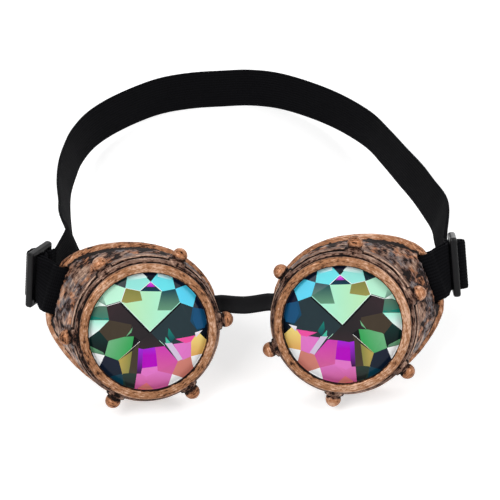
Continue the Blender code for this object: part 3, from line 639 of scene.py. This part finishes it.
def settled(side, point):
    """Place of a point of the pattern in the glass, where the pattern is turned and shifted a little."""
    reach = Vector(point)
    rim_share = min(1.0, reach.length) ** 4
    turned = Matrix.Rotation(pattern_turn[side], 2) @ reach
    shift = Vector(pattern_shift[side]) * (1 - rim_share)
    return turned * (1 - pattern_inset * (1 - rim_share)) + shift


def inside(point, outline):
    """Whether a point lies inside an outline."""
    found = False
    for (x0, y0), (x1, y1) in zip(outline, outline[1:] + outline[:1]):
        if (y0 > point[1]) != (y1 > point[1]) and point[0] < x0 + (point[1] - y0) / (y1 - y0) * (x1 - x0):
            found = not found
    return found


def patch_colour(patch, point):
    """Tone of a patch at a point, by how far the point lies along the patch's direction."""
    start, end, degrees, outline = patch
    way = Vector((math.cos(math.radians(degrees)), math.sin(math.radians(degrees))))
    reaches = [Vector(corner).dot(way) for corner in outline]
    share = (Vector(point).dot(way) - min(reaches)) / max(1e-6, max(reaches) - min(reaches))
    share = min(1.0, max(0.0, share))
    return [a + (b - a) * share for a, b in zip(display(*glass_tones[start]), display(*glass_tones[end]))]


def flat_pattern(patches):
    """Corners and triangles of the pattern laid flat, cut along every outline and the round border."""
    corners = []
    faces = []
    border = [edge(step * 360 / border_steps) for step in range(border_steps)]
    for outline in [patch[3] for patch in patches] + [border]:
        faces.append(list(range(len(corners), len(corners) + len(outline))))
        corners += [Vector(corner) for corner in outline]
    flat, _, triangles, _, _, _ = delaunay_2d_cdt(corners, [], faces, 1, 1e-5, False)
    return flat, triangles


def paint(face, tones, colours):
    """Give the corners of a face their colours."""
    for loop, colour in zip(face.loops, colours):
        loop[tones] = colour


def add_crown(shape, tones, side):
    """Crown cut along its facets and the reflections in them, in their tones."""
    patches = glass_patches()
    flat, triangles = flat_pattern(patches)
    top = []
    for point in flat:
        place = settled(side, point) * crown_radius
        level = crown_level(point.x * crown_radius, point.y * crown_radius)
        top.append(shape.verts.new((-side * place.x, place.y, level)))
    for triangle in triangles:
        middle = sum((flat[i] for i in triangle), Vector((0.0, 0.0))) / 3
        patch = next((p for p in reversed(patches) if inside(middle, p[3])), None)
        if patch is None or middle.length > 0.9998:
            continue
        face = shape.faces.new([top[i] for i in triangle])
        paint(face, tones, [patch_colour(patch, flat[i]) for i in triangle])


def extend(shape, edges, place):
    """Extrude a closed line of edges, put its new corners where place says, and give back the new line."""
    made = bmesh.ops.extrude_edge_only(shape, edges=edges)["geom"]
    for part in made:
        if isinstance(part, bmesh.types.BMVert):
            part.co = place(part.co)
    return [part for part in made if isinstance(part, bmesh.types.BMEdge)]


def on_circle_at(radius, height):
    """Rule that moves a corner of the glass to a circle round its axis."""
    def place(corner):
        reach = Vector((corner.x, corner.y)).normalized() * radius
        return (reach.x, reach.y, height)
    return place


def on_back_octagon(corner):
    """Place of a corner of the glass moved in to the outline of its eight back facets."""
    turn = math.atan2(corner.y, corner.x)
    from_middle = (turn % (math.pi / 4)) - math.pi / 8
    reach = (crown_radius - back_land) / math.cos(from_middle)
    return (reach * math.cos(turn), reach * math.sin(turn), -flange_thickness)


def make_cut_glass(side, material):
    """Closed lens: cut crown, flange that the ring clamps, and eight back facets."""
    shape = bmesh.new()
    tones = shape.loops.layers.float_color.new("facet_tone")
    add_crown(shape, tones, side)
    rim = [e for e in shape.edges if e.is_boundary]
    for radius, height in ((crown_radius, 0.0), (flange_radius, 0.0), (flange_radius, -flange_thickness)):
        rim = extend(shape, rim, on_circle_at(radius, height))
    rim = extend(shape, rim, on_back_octagon)
    apex = shape.verts.new((0, 0, -flange_thickness - back_depth))
    back_faces = [shape.faces.new((*e.verts, apex)) for e in rim]
    dark = display(*glass_tones["navy"])
    for face in shape.faces:
        if face in back_faces:
            middle = face.calc_center_median()
            part = int((math.atan2(middle.y, -side * middle.x) % (2 * math.pi)) / (math.pi / 4))
            tone = display(*glass_tones[back_tones[part]])
            paint(face, tones, [dark if loop.vert is apex else tone for loop in face.loops])
        elif any(loop[tones][3] == 0.0 for loop in face.loops):
            paint(face, tones, [dark] * len(face.loops))
    loose = [v for v in shape.verts if not v.link_faces]
    bmesh.ops.delete(shape, geom=loose, context="VERTS")
    piece = piece_from(shape, side_names[side] + "_cut_glass")
    dress(piece.data, material)
    piece.matrix_world = lens_frame(side) @ Matrix.Translation((0, 0, -glass_front_depth))
    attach(piece, side_names[side] + "_glass")
    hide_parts(side_names[side] + "_lens")


# Webbing and its way through the sliders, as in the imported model
webbing_width = 0.0200
webbing_thickness = 0.0014
webbing_cords = 15
pick_pitch_mm = 0.8
cord_depth = 0.00009
webbing_ease = 0.0004
fit_gap = 0.0003
temple_edge = 0.03894
temple_back = 0.033748
slot_back = 0.030348
slot_offset = 0.0026
rim_bar_width = 0.0044
slider_slot = 0.0045
slider_outer_bar = 0.0024
slider_centre_bar = 0.0018
slider_thickness = 0.0032
slider_outward = {-1: 0.0032, 1: 0.0056}
slider_above = {-1: 0.0067, 1: 0.0047}
slider_behind = {-1: 0.0085, 1: 0.0097}
slider_heading = {-1: math.radians(37), 1: math.radians(7)}
slider_lean = {-1: math.radians(5), 1: math.radians(3)}
slider_upright = {-1: math.radians(14), 1: 0.0}
strap_half_width = 0.0850
strap_reach = 0.2100
strap_rise = 0.0270
strap_front_share = 0.282

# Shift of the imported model, which stands centred on the origin, from the strap's plan
lens_spacing = 0.0782
stand = ring_front[1] - Vector((lens_spacing / 2, 0.0, 0.0))

head_strap_plan = (
    (-0.886, 0.422, 12.0), (-0.904, 0.516, 12.0), (-0.906, 0.609, 10.0), (-0.884, 0.693, 9.0),
    (-0.854, 0.758, 7.0), (-0.790, 0.828, 5.0), (-0.689, 0.888, 3.0), (-0.547, 0.943, 1.0),
    (-0.409, 0.979, 0.0), (-0.252, 0.996, 0.0), (-0.087, 1.0, 0.0), (0.065, 1.0, 0.0),
    (0.220, 0.982, 0.0), (0.388, 0.935, 1.0), (0.546, 0.870, 3.0), (0.683, 0.786, 5.0),
    (0.761, 0.703, 7.0), (0.833, 0.614, 9.0), (0.900, 0.531, 11.0), (0.947, 0.456, 12.0),
)
strap_end_plan = {
    -1: ((-0.878, 0.381, 14.0), (-0.854, 0.338, 16.0), (-0.834, 0.298, 14.0)),
    1: ((0.985, 0.390, 15.0), (0.990, 0.320, 15.0)),
}


def slider_frame(side):
    """World matrix of a slider: x along the strap towards the back, y along its bars, z outwards."""
    upright = slider_upright[side]
    inward = Vector((-side, 0, 0))
    back = Vector((0, math.sin(upright), -math.cos(upright)))
    along = back * math.cos(slider_heading[side]) + inward * math.sin(slider_heading[side])
    rise = Vector((0, math.cos(upright), math.sin(upright)))
    lean = inward * math.sin(slider_lean[side]) + rise * math.cos(slider_lean[side])
    bar = (lean - along * lean.dot(along)).normalized() * side
    outward = along.cross(bar)
    turn = Matrix((along, bar, outward)).transposed().to_4x4()
    reach = temple_edge * math.cos(temple_direction) + slider_outward[side]
    height = temple_edge * math.sin(temple_direction) + slider_above[side]
    depth = temple_back + slider_behind[side]
    return lens_frame(side) @ Matrix.Translation((side * reach, height, -depth)) @ turn


layer_pitch = webbing_thickness + fit_gap
beside_slider = slider_thickness / 2 + fit_gap + (webbing_thickness + webbing_ease) / 2
sewn_reach = slider_centre_bar / 2 + fit_gap + webbing_thickness / 2
main_reach = sewn_reach + layer_pitch


def through_slider(side):
    """The strap's run from behind the slider to its front, over the centre bar: (along, outwards)."""
    far = slider_centre_bar / 2 + slider_slot + slider_outer_bar
    under = -beside_slider
    over = beside_slider + layer_pitch
    step = layer_pitch / 2
    half = [
        (far + webbing_thickness, under), (far - slider_outer_bar / 2, under),
        (main_reach + 1.2 * step, under + step / 5), (main_reach + step / 4, under + 1.3 * step),
        (main_reach, 0), (main_reach - step / 3, over - 2 * step),
        (sewn_reach, over - step / 4), (slider_centre_bar / 4, over),
    ]
    front = half[1:] if side > 0 else half[3:]
    return half, [(-along, out) for along, out in reversed(front)]


def sewn_loop(side):
    """The sewn end round the centre bar, from its tail to the layer that goes to the rim bar."""
    step = layer_pitch / 2
    over = beside_slider
    loop = [
        (-fit_gap, -over), (sewn_reach / 2, -over + step / 8), (sewn_reach - step / 4, -over + step),
        (sewn_reach, 0), (sewn_reach - step / 4, over - step), (sewn_reach / 2, over - step / 8),
        (-sewn_reach / 2, over - step / 8), (-sewn_reach + step / 4, over - step), (-sewn_reach, 0),
        (-sewn_reach, -beside_slider),
    ]
    if side > 0:
        under = -over - layer_pitch
        loop += [(-sewn_reach - step / 2, under + step / 2), (-main_reach - step, under)]
    return loop


def rim_bar_loop():
    """The strap's way round the rim bar, from behind the rim to its front: (outwards, depth)."""
    off = fit_gap + webbing_thickness / 2
    outer = temple_edge
    inner = outer - rim_bar_width - 2 * webbing_ease
    turn = webbing_thickness
    return [
        (outer + webbing_ease, temple_back + off + turn / 5), (outer - turn, temple_back + off),
        (inner + turn / 2, temple_back + off), (inner - off + turn / 4, temple_back + off - turn / 3),
        (inner - off, temple_back - turn), (inner - off, slot_back + turn),
        (inner - off + turn / 4, slot_back - off + turn / 4), (inner + turn, slot_back - off),
        (outer - turn, slot_back - off), (outer + off / 2, slot_back - off + turn / 3),
        (outer + off, slot_back + turn), (outer + off + turn / 2, slot_back + 2 * turn),
    ]


def plan_station(shares):
    """Station of the strap from shares of its plan, standing on its edge with its lean outwards."""
    x = shares[0] * strap_half_width
    lean = math.radians(shares[2])
    outward = -1 if x < 0 else 1
    ahead = max(0.0, 1 - shares[1]) / (1 - strap_front_share)
    height = webbing_width / 2 * math.cos(lean) + strap_rise * ahead**1.2
    across = Vector((outward * math.sin(lean), 0, math.cos(lean)))
    return Vector((x + stand.x, shares[1] * strap_reach + stand.y, height)), across


def stations_between(first, last):
    """Stations that share out the twist of a straight stretch of strap between two others."""
    return [tuple(a + (b - a) * share for a, b in zip(first, last)) for share in (0.3, 0.7)]


def strap_end_stations(side):
    """Stations of the sewn loop and of the run to the head strap, which meet on the centre bar."""
    slider = slider_frame(side)
    bar = (slider.to_3x3() @ Vector((0, side, 0))).normalized()
    cup = lens_frame(side)
    out = Vector((side * math.cos(temple_direction), math.sin(temple_direction), 0))
    along = Vector((-side * math.sin(temple_direction), math.cos(temple_direction), 0))
    slot_across = (cup.to_3x3() @ along).normalized()
    sewn = [(slider @ Vector((s, 0, n)), bar) for s, n in sewn_loop(side)]
    rim = [(cup @ (out * reach + along * slot_offset - Vector((0, 0, depth))), slot_across)
           for reach, depth in rim_bar_loop()]
    back, front = [[(slider @ Vector((s, 0, n)), bar) for s, n in half] for half in through_slider(side)]
    front.reverse()
    back.reverse()
    loop = sewn + stations_between(sewn[-1], rim[0]) + rim + stations_between(rim[-1], front[0]) + front
    end = head_strap_plan[0] if side < 0 else head_strap_plan[-1]
    tail = [plan_station(shares) for shares in reversed(strap_end_plan[side])]
    return loop, back + tail + [plan_station(end)]


def smooth_route(stations, steps, ends=(None, None)):
    """Catmull-Rom curve through stations of (centre, across), with the stations beyond its two ends."""
    line = [ends[0] or stations[0], *stations, ends[1] or stations[-1]]
    route = []
    for index in range(1, len(line) - 2):
        window = line[index - 1:index + 3]
        for step in range(steps):
            t = step / steps
            weights = (
                (-t + 2 * t**2 - t**3) / 2, (2 - 5 * t**2 + 3 * t**3) / 2,
                (t + 4 * t**2 - 3 * t**3) / 2, (-(t**2) + t**3) / 2,
            )
            centre, across = (
                sum((s[part] * w for s, w in zip(window, weights)), Vector()) for part in (0, 1))
            route.append((centre, across.normalized()))
    return route + [stations[-1]]


def webbing_section():
    """Outline of the webbing across its length, with shallow cords on both faces and round selvedges."""
    selvedge = webbing_thickness / 2 - cord_depth
    flat_width = webbing_width - 2 * selvedge
    count = webbing_cords * 2
    face = []
    for step in range(count + 1):
        height = webbing_thickness / 2 - (cord_depth if step % 2 == 0 else 0.0)
        face.append(((step / count - 0.5) * flat_width, height))
    turn = [math.radians(angle) for angle in (60, 30, 0, -30, -60)]
    end = [(flat_width / 2 + selvedge * math.cos(a), selvedge * math.sin(a)) for a in turn]
    return face + end + [(-x, -y) for x, y in face] + [(-x, -y) for x, y in end]


def sweep(name, route, section, material):
    """Sweep a section of (across, outwards) along a route, with capped ends and its length in its UV map."""
    shape = bmesh.new()
    uv = shape.loops.layers.uv.new("UVMap")
    rings = []
    lengths = [0.0]
    for index, (centre, across) in enumerate(route):
        before, after = route[max(index - 1, 0)][0], route[min(index + 1, len(route) - 1)][0]
        normal = (after - before).normalized().cross(across).normalized()
        rings.append([shape.verts.new(centre + across * x + normal * y) for x, y in section])
        if index:
            lengths.append(lengths[-1] + (centre - route[index - 1][0]).length * 1000)
    widths = [x / webbing_width + 0.5 for x, y in section]
    for index in range(len(rings) - 1):
        for corner in range(len(section)):
            beyond = (corner + 1) % len(section)
            near, far = rings[index], rings[index + 1]
            face = shape.faces.new((near[corner], near[beyond], far[beyond], far[corner]))
            face.smooth = True
            marks = ((corner, index), (beyond, index), (beyond, index + 1), (corner, index + 1))
            for loop, (place, row) in zip(face.loops, marks):
                loop[uv].uv = (widths[place], lengths[row])
    for ring in (rings[0], rings[-1]):
        for cap_edge in shape.faces.new(ring).edges:
            cap_edge.smooth = False
    piece = piece_from(shape, name)
    dress(piece.data, material)
    return piece


def make_strap_ends(side, material):
    """Two lengths of webbing that meet on the slider's centre bar."""
    name = side_names[side]
    loop, run = strap_end_stations(side)
    sewn_route = smooth_route(loop, 3, (None, run[0]))
    sewn = sweep(name + "_sewn_loop", sewn_route, webbing_section(), material)
    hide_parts(name + "_strap_end")
    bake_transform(sewn)
    run_route = smooth_route(run, 4, (loop[-1], None))
    lead = sweep(name + "_strap_run", run_route, webbing_section(), material)
    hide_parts(name + "_strap_end")
    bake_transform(lead)


def make_head_strap(material):
    """Webbing round the back of the head, between the two strap ends."""
    stations = [plan_station(shares) for shares in head_strap_plan]
    beyond = tuple(plan_station(strap_end_plan[side][0]) for side in (-1, 1))
    route = smooth_route(stations, 6, beyond)
    piece = sweep("elastic_head_strap", route, webbing_section(), material)
    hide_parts("head_strap")
    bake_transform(piece)


# Bridge strip
bridge_width = 0.0074
bridge_thickness = 0.0016
bridge_rise = 0.0067
bridge_depth = 0.0161
bridge_sag = 0.0009
bridge_end_width = 0.0092
bridge_end_length = 0.0024
bridge_end_inset = 0.0062
nose_flat = 0.0308


def bridge_section(width):
    """Rounded bar with a shallow groove along each face."""
    half_width, half_thickness = width / 2, bridge_thickness / 2
    left_half = [(-0.86, 0.96), (-0.74, 1.0), (-0.62, 1.0), (-0.54, 0.86)]
    face = left_half + [(-x, y) for x, y in reversed(left_half)]
    end = [(0.94, 0.76), (0.98, 0.4), (1.0, 0.0), (0.98, -0.4), (0.94, -0.76)]
    outline = face + end + [(-x, -y) for x, y in face] + [(-x, -y) for x, y in end]
    return [(x * half_width, y * half_thickness) for x, y in outline]


def make_bridge(material):
    """Moulded strip from cup to cup, with wider ends inside them."""
    halves = []
    inner = nose_flat - bridge_end_inset - bridge_end_length
    outer = nose_flat - bridge_end_inset
    for side in (-1, 1):
        cup = lens_frame(side)
        across = (cup.to_3x3() @ Vector((0, 1, 0))).normalized()
        reaches = (inner, outer, outer + fit_gap, nose_flat, nose_flat + 0.002)
        centres = [cup @ Vector((-side * reach, bridge_rise, -bridge_depth)) for reach in reaches]
        halves.append([(centre, across) for centre in centres])
    left, right = halves
    middle = (left[-1][0] + right[-1][0]) / 2 - left[-1][1] * bridge_sag
    arch = smooth_route([left[-2], left[-1], (middle, left[-1][1]), right[-1], right[-2]], 6)
    route = left[:3] + arch + right[2::-1]
    section = bridge_section(bridge_width)
    piece = sweep("moulded_bridge", route, section, material)
    share = bridge_end_width / bridge_width
    count = len(section)
    for ring in (0, 1, len(route) - 2, len(route) - 1):
        centre, across = route[ring]
        for vert in piece.data.vertices[ring * count:(ring + 1) * count]:
            reach = (vert.co - centre).dot(across)
            vert.co += across * reach * (share - 1)
    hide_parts("bridge_strip")
    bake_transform(piece)


# Cast surface of the cups
cast_voxel = 0.00065
wall_relief = 0.00042
rim_relief = 0.00016
rim_height_mm = 4.4
wall_front_mm = 13.0
neck_radius_mm = 26.6


def cast_level(point):
    """Unevenness of a casting at a point, about 0."""
    coarse = noise.noise(point * 230, noise_basis="PERLIN_ORIGINAL")
    folded = 1 - 2 * abs(noise.noise(point * 330 + Vector((7, 3, 1)) + Vector((coarse, coarse, 0))))
    fine = noise.noise(point * 800, noise_basis="PERLIN_ORIGINAL")
    return 0.5 * coarse + 0.35 * (folded - 0.5) + 0.3 * fine


def grey(level):
    """Grey of a level held between 0 and 1."""
    level = min(1.0, max(0.0, level))
    return (level, level, level, 1.0)


def make_cast_cup(side, material):
    """Cup with the softened edges and the uneven wall of a casting, copied from its node."""
    name = side_names[side]
    rough = link_piece(name + "_rough_cup", nodes[name + "_cup"].data.copy())
    remesh = rough.modifiers.new("even_faces", "REMESH")
    remesh.mode = "VOXEL"
    remesh.voxel_size = cast_voxel
    remesh.use_smooth_shade = True
    soften = rough.modifiers.new("soften", "SMOOTH")
    soften.factor = 0.5
    soften.iterations = 3
    mesh = evaluated_mesh(rough, name + "_cast_cup")
    bpy.data.objects.remove(rough)
    to_lens = lens_frame(side).inverted()
    relief = mesh.color_attributes.new("cast_relief", "FLOAT_COLOR", "POINT")
    inner = mesh.color_attributes.new("cast_inside", "FLOAT_COLOR", "POINT")
    normals = [vert.normal.copy() for vert in mesh.vertices]
    for vert, normal in zip(mesh.vertices, normals):
        place = to_lens @ vert.co
        facing = to_lens.to_3x3() @ normal
        radius, depth = math.hypot(place.x, place.y) * 1000, -place.z * 1000
        outward = (facing.x * place.x + facing.y * place.y) * 1000 / max(radius, 1e-6)
        to_temple = side * place.x * math.cos(temple_direction) + place.y * math.sin(temple_direction)
        before_seat = seat_depth_mm + seat_slope * to_temple * 1000 - depth
        level = cast_level(vert.co)
        if outward > 0.15 and depth > wall_front_mm and radius > neck_radius_mm:
            vert.co += normal * level * (wall_relief if before_seat > rim_height_mm else rim_relief)
        relief.data[vert.index].color = grey(0.5 + level)
        inner.data[vert.index].color = grey((0.1 - outward) / 0.3 if before_seat > 0.3 else 0.0)
    dress(mesh, material)
    piece = link_piece(name + "_cast_cup", mesh)
    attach(piece, name + "_side")
    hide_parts(name + "_cup")


# Lens ring and its studs
ring_turn = {-1: math.radians(57), 1: math.radians(20.5)}
ring_segments = 120
ring_unevenness = 0.00007
stud_count = 6
stud_segments = 20
stud_depth_mm = 8.2
stud_foot_mm = 27.2
stud_collar_radius_mm = 4.1
stud_ball_radius_mm = 3.2
stud_ball_reach_mm = 32.65


def bend(centre_r, centre_d, radius, start, end, steps):
    """Points of an arc in a ring's section, with angles in degrees from outward to the front."""
    angles = [math.radians(start + (end - start) * step / steps) for step in range(steps + 1)]
    return [(centre_r + radius * math.cos(a), centre_d - radius * math.sin(a)) for a in angles]


def ring_section():
    """Section of the ring as (radius, depth): lip, groove, bead, groove and flange, then its bore."""
    section = [(24.2, 2.2), (24.2, 0.8)]
    section += bend(24.9, 0.7, 0.7, 180, 90, 4)
    section += [(25.6, -0.02), (26.3, -0.02)]
    section += bend(26.9, 1.1, 1.1, 90, 0, 6)
    section += [(28.0, 1.7), (27.9, 2.1), (27.6, 2.3), (27.55, 2.9), (27.6, 3.7), (27.8, 4.1)]
    section += bend(28.1, 5.5, 1.4, 62, -62, 8)
    section += [(28.3, 6.9), (27.9, 7.2), (28.1, 7.6), (29.4, 7.72)]
    section += bend(29.7, 8.45, 0.7, 90, 0, 4)
    section += [(30.3, 9.4), (30.3, 10.6)]
    section += bend(29.6, 11.5, 0.8, 0, -90, 4)
    section += [(26.4, 12.3), (26.4, 5.0), (25.7, 5.0), (25.7, 2.2)]
    return [(radius / 1000, depth / 1000) for radius, depth in section]


def stud_section():
    """Section of a stud, as (radius, distance from the lens axis): collar, neck and ball."""
    collar = stud_collar_radius_mm
    section = [(0.0, stud_foot_mm), (collar, stud_foot_mm), (collar, 29.8)]
    section += [(3.9, 30.6), (3.3, 30.9), (2.75, 31.0)]
    for step in range(7):
        angle = math.radians(-30 + 120 * step / 7)
        reach = stud_ball_reach_mm + stud_ball_radius_mm * math.sin(angle)
        section.append((stud_ball_radius_mm * math.cos(angle), reach))
    section.append((0.0, stud_ball_reach_mm + stud_ball_radius_mm))
    return [(radius / 1000, reach / 1000) for radius, reach in section]


def spin(shape, section, segments, matrix, closed):
    """Turn a section about the z axis of a matrix and add it to a mesh."""
    rings = []
    for radius, height in section:
        if radius < 1e-9:
            rings.append([shape.verts.new(matrix @ Vector((0, 0, height)))] * segments)
            continue
        turns = [2 * math.pi * step / segments for step in range(segments)]
        corners = [Vector((radius * math.cos(turn), radius * math.sin(turn), height)) for turn in turns]
        rings.append([shape.verts.new(matrix @ corner) for corner in corners])
    pairs = list(zip(rings, rings[1:])) + ([(rings[-1], rings[0])] if closed else [])
    for lower, upper in pairs:
        for step in range(segments):
            beyond = (step + 1) % segments
            corners = (lower[step], lower[beyond], upper[beyond], upper[step])
            face = shape.faces.new(list(dict.fromkeys(corners)))
            face.smooth = True


def make_turned_ring(side, material):
    """Lens ring turned from its section, with six studs moulded on it."""
    name = side_names[side]
    matrix = lens_frame(side)
    body = bmesh.new()
    spin(body, [(radius, -depth) for radius, depth in ring_section()], ring_segments, matrix, True)
    studs = bmesh.new()
    for index in range(stud_count):
        angle = ring_turn[side] + index * 2 * math.pi / stud_count
        if side < 0:
            angle = math.pi - angle
        lie = Matrix.Translation((0, 0, -stud_depth_mm / 1000)) @ Matrix.Rotation(angle, 4, "Z")
        spin(studs, stud_section(), stud_segments, matrix @ lie @ Matrix.Rotation(math.pi / 2, 4, "Y"), False)
    pieces = [piece_from(body, name + "_ring"), piece_from(studs, name + "_studs")]
    union = pieces[0].modifiers.new("moulded_in_one", "BOOLEAN")
    union.operation = "UNION"
    union.object = pieces[1]
    mesh = evaluated_mesh(pieces[0], name + "_turned_ring")
    for piece in pieces:
        bpy.data.objects.remove(piece)
    for vert in mesh.vertices:
        vert.co += vert.normal * noise.noise(vert.co * 260) * ring_unevenness
    mesh.set_sharp_from_angle(angle=math.radians(50))
    dress(mesh, material)
    piece = link_piece(name + "_turned_ring", mesh)
    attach(piece, name + "_ring")
    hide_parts(name + "_lens_ring")


def dress_nodes():
    """Give the sliders and the gaskets, which stay as packed, their materials."""
    slider_black = moulded_black_material("slider_gloss_black", display(9, 9, 11), 0.34, 0.12, 0.2)
    gasket_black = moulded_black_material("gasket_black", display(12, 12, 13), 0.7, 0.3)
    for name in side_names.values():
        dress(nodes[name + "_lens_gasket"].data, gasket_black)
        dress(nodes[name + "_slider"].data, slider_black)


def seen_rays(sheet):
    """1 for camera, glossy and transmission rays, and 0 for the rays that carry soft light."""
    path = sheet.add("ShaderNodeLightPath").outputs
    seen = sheet.maths("MAXIMUM", path["Is Glossy Ray"], path["Is Transmission Ray"])
    return sheet.maths("MAXIMUM", path["Is Camera Ray"], seen)


def make_floor():
    """Pale floor, which glows more far from the goggles, so that it meets the white background."""
    mesh = bpy.data.meshes.new("floor")
    reach = 3.0
    near, far = 0.3, 1.2
    near_glow, far_glow = 0.5, 0.76
    corners = [(-reach, -reach, 0), (reach, -reach, 0), (reach, reach, 0), (-reach, reach, 0)]
    mesh.from_pydata(corners, [], [(0, 1, 2, 3)])
    floor = link_piece("floor", mesh)
    material, sheet, shader = new_material("pale_floor")
    distance = sheet.add("ShaderNodeVectorMath", {0: sheet.place()}, operation="LENGTH").outputs["Value"]
    glow = sheet.spread(distance, near, far, near_glow, far_glow)
    glow = sheet.maths("MULTIPLY", seen_rays(sheet), glow)
    finish_shader(sheet, shader, {
        "Base Color": (0.86, 0.86, 0.86, 1.0), "Roughness": 0.9, "Specular IOR Level": 0.0,
        "Emission Color": (1.0, 1.0, 1.0, 1.0), "Emission Strength": glow,
    })
    dress(mesh, material)


def make_light(name, place, aim, size, power):
    """Square lamp at a place, turned to its aim."""
    lamp = bpy.data.lights.new(name, "AREA")
    lamp.shape = "SQUARE"
    lamp.size = size
    lamp.energy = power
    item = link_piece(name, lamp)
    item.location = place
    item.rotation_euler = (Vector(aim) - Vector(place)).to_track_quat("-Z", "Y").to_euler()


def make_stage():
    """Floor, three lamps and a white background that lights less than it shows."""
    make_floor()
    make_light("key_light", (-0.7, -0.9, 1.2), (0, 0, 0), 0.9, 13)
    make_light("fill_light", (1.0, -0.6, 0.9), (0, 0, 0), 0.9, 7)
    make_light("back_light", (0.2, 1.1, 1.0), (0, 0, 0.02), 0.8, 5)
    world = bpy.data.worlds.new("studio")
    bpy.context.scene.world = world
    world.use_nodes = True
    sheet = Sheet(world.node_tree)
    back = world.node_tree.nodes["Background"]
    back.inputs["Color"].default_value = (1, 1, 1, 1)
    sheet.put(back.inputs["Strength"], sheet.spread(seen_rays(sheet), 0.0, 1.0, 0.32, 1.0))
    bpy.context.scene.view_settings.view_transform = "Standard"


def make_camera():
    """Camera that stands back along its angle from the middle of the two rings, rolled and moved a little."""
    back = Vector((0, -math.cos(camera_height_angle), math.sin(camera_height_angle)))
    level = Vector((1, 0, 0))
    rise = back.cross(level)
    right = level * math.cos(camera_roll) + rise * math.sin(camera_roll)
    up = back.cross(right)
    middle = (ring_front[-1] + ring_front[1]) / 2
    camera = bpy.data.cameras.new("camera")
    camera.lens = camera_lens
    camera.sensor_width = sensor_width
    camera.sensor_fit = "HORIZONTAL"
    camera.clip_end = 20
    item = link_piece("camera", camera)
    turn = Matrix((right, up, back)).transposed().to_4x4()
    place = middle + back * camera_distance + right * camera_offset[0] + up * camera_offset[1]
    item.matrix_world = Matrix.Translation(place) @ turn
    bpy.context.scene.camera = item


make_camera()
make_stage()
dress_nodes()
glass = cut_glass_material()
webbing = webbing_material()
for lens_side in (-1, 1):
    make_cast_cup(lens_side, cup_material(lens_side))
    make_turned_ring(lens_side, ring_material(lens_side))
    make_cut_glass(lens_side, glass)
    make_strap_ends(lens_side, webbing)
make_head_strap(webbing)
make_bridge(moulded_black_material("bridge_satin_black", display(12, 12, 14), 0.42, 0.3))
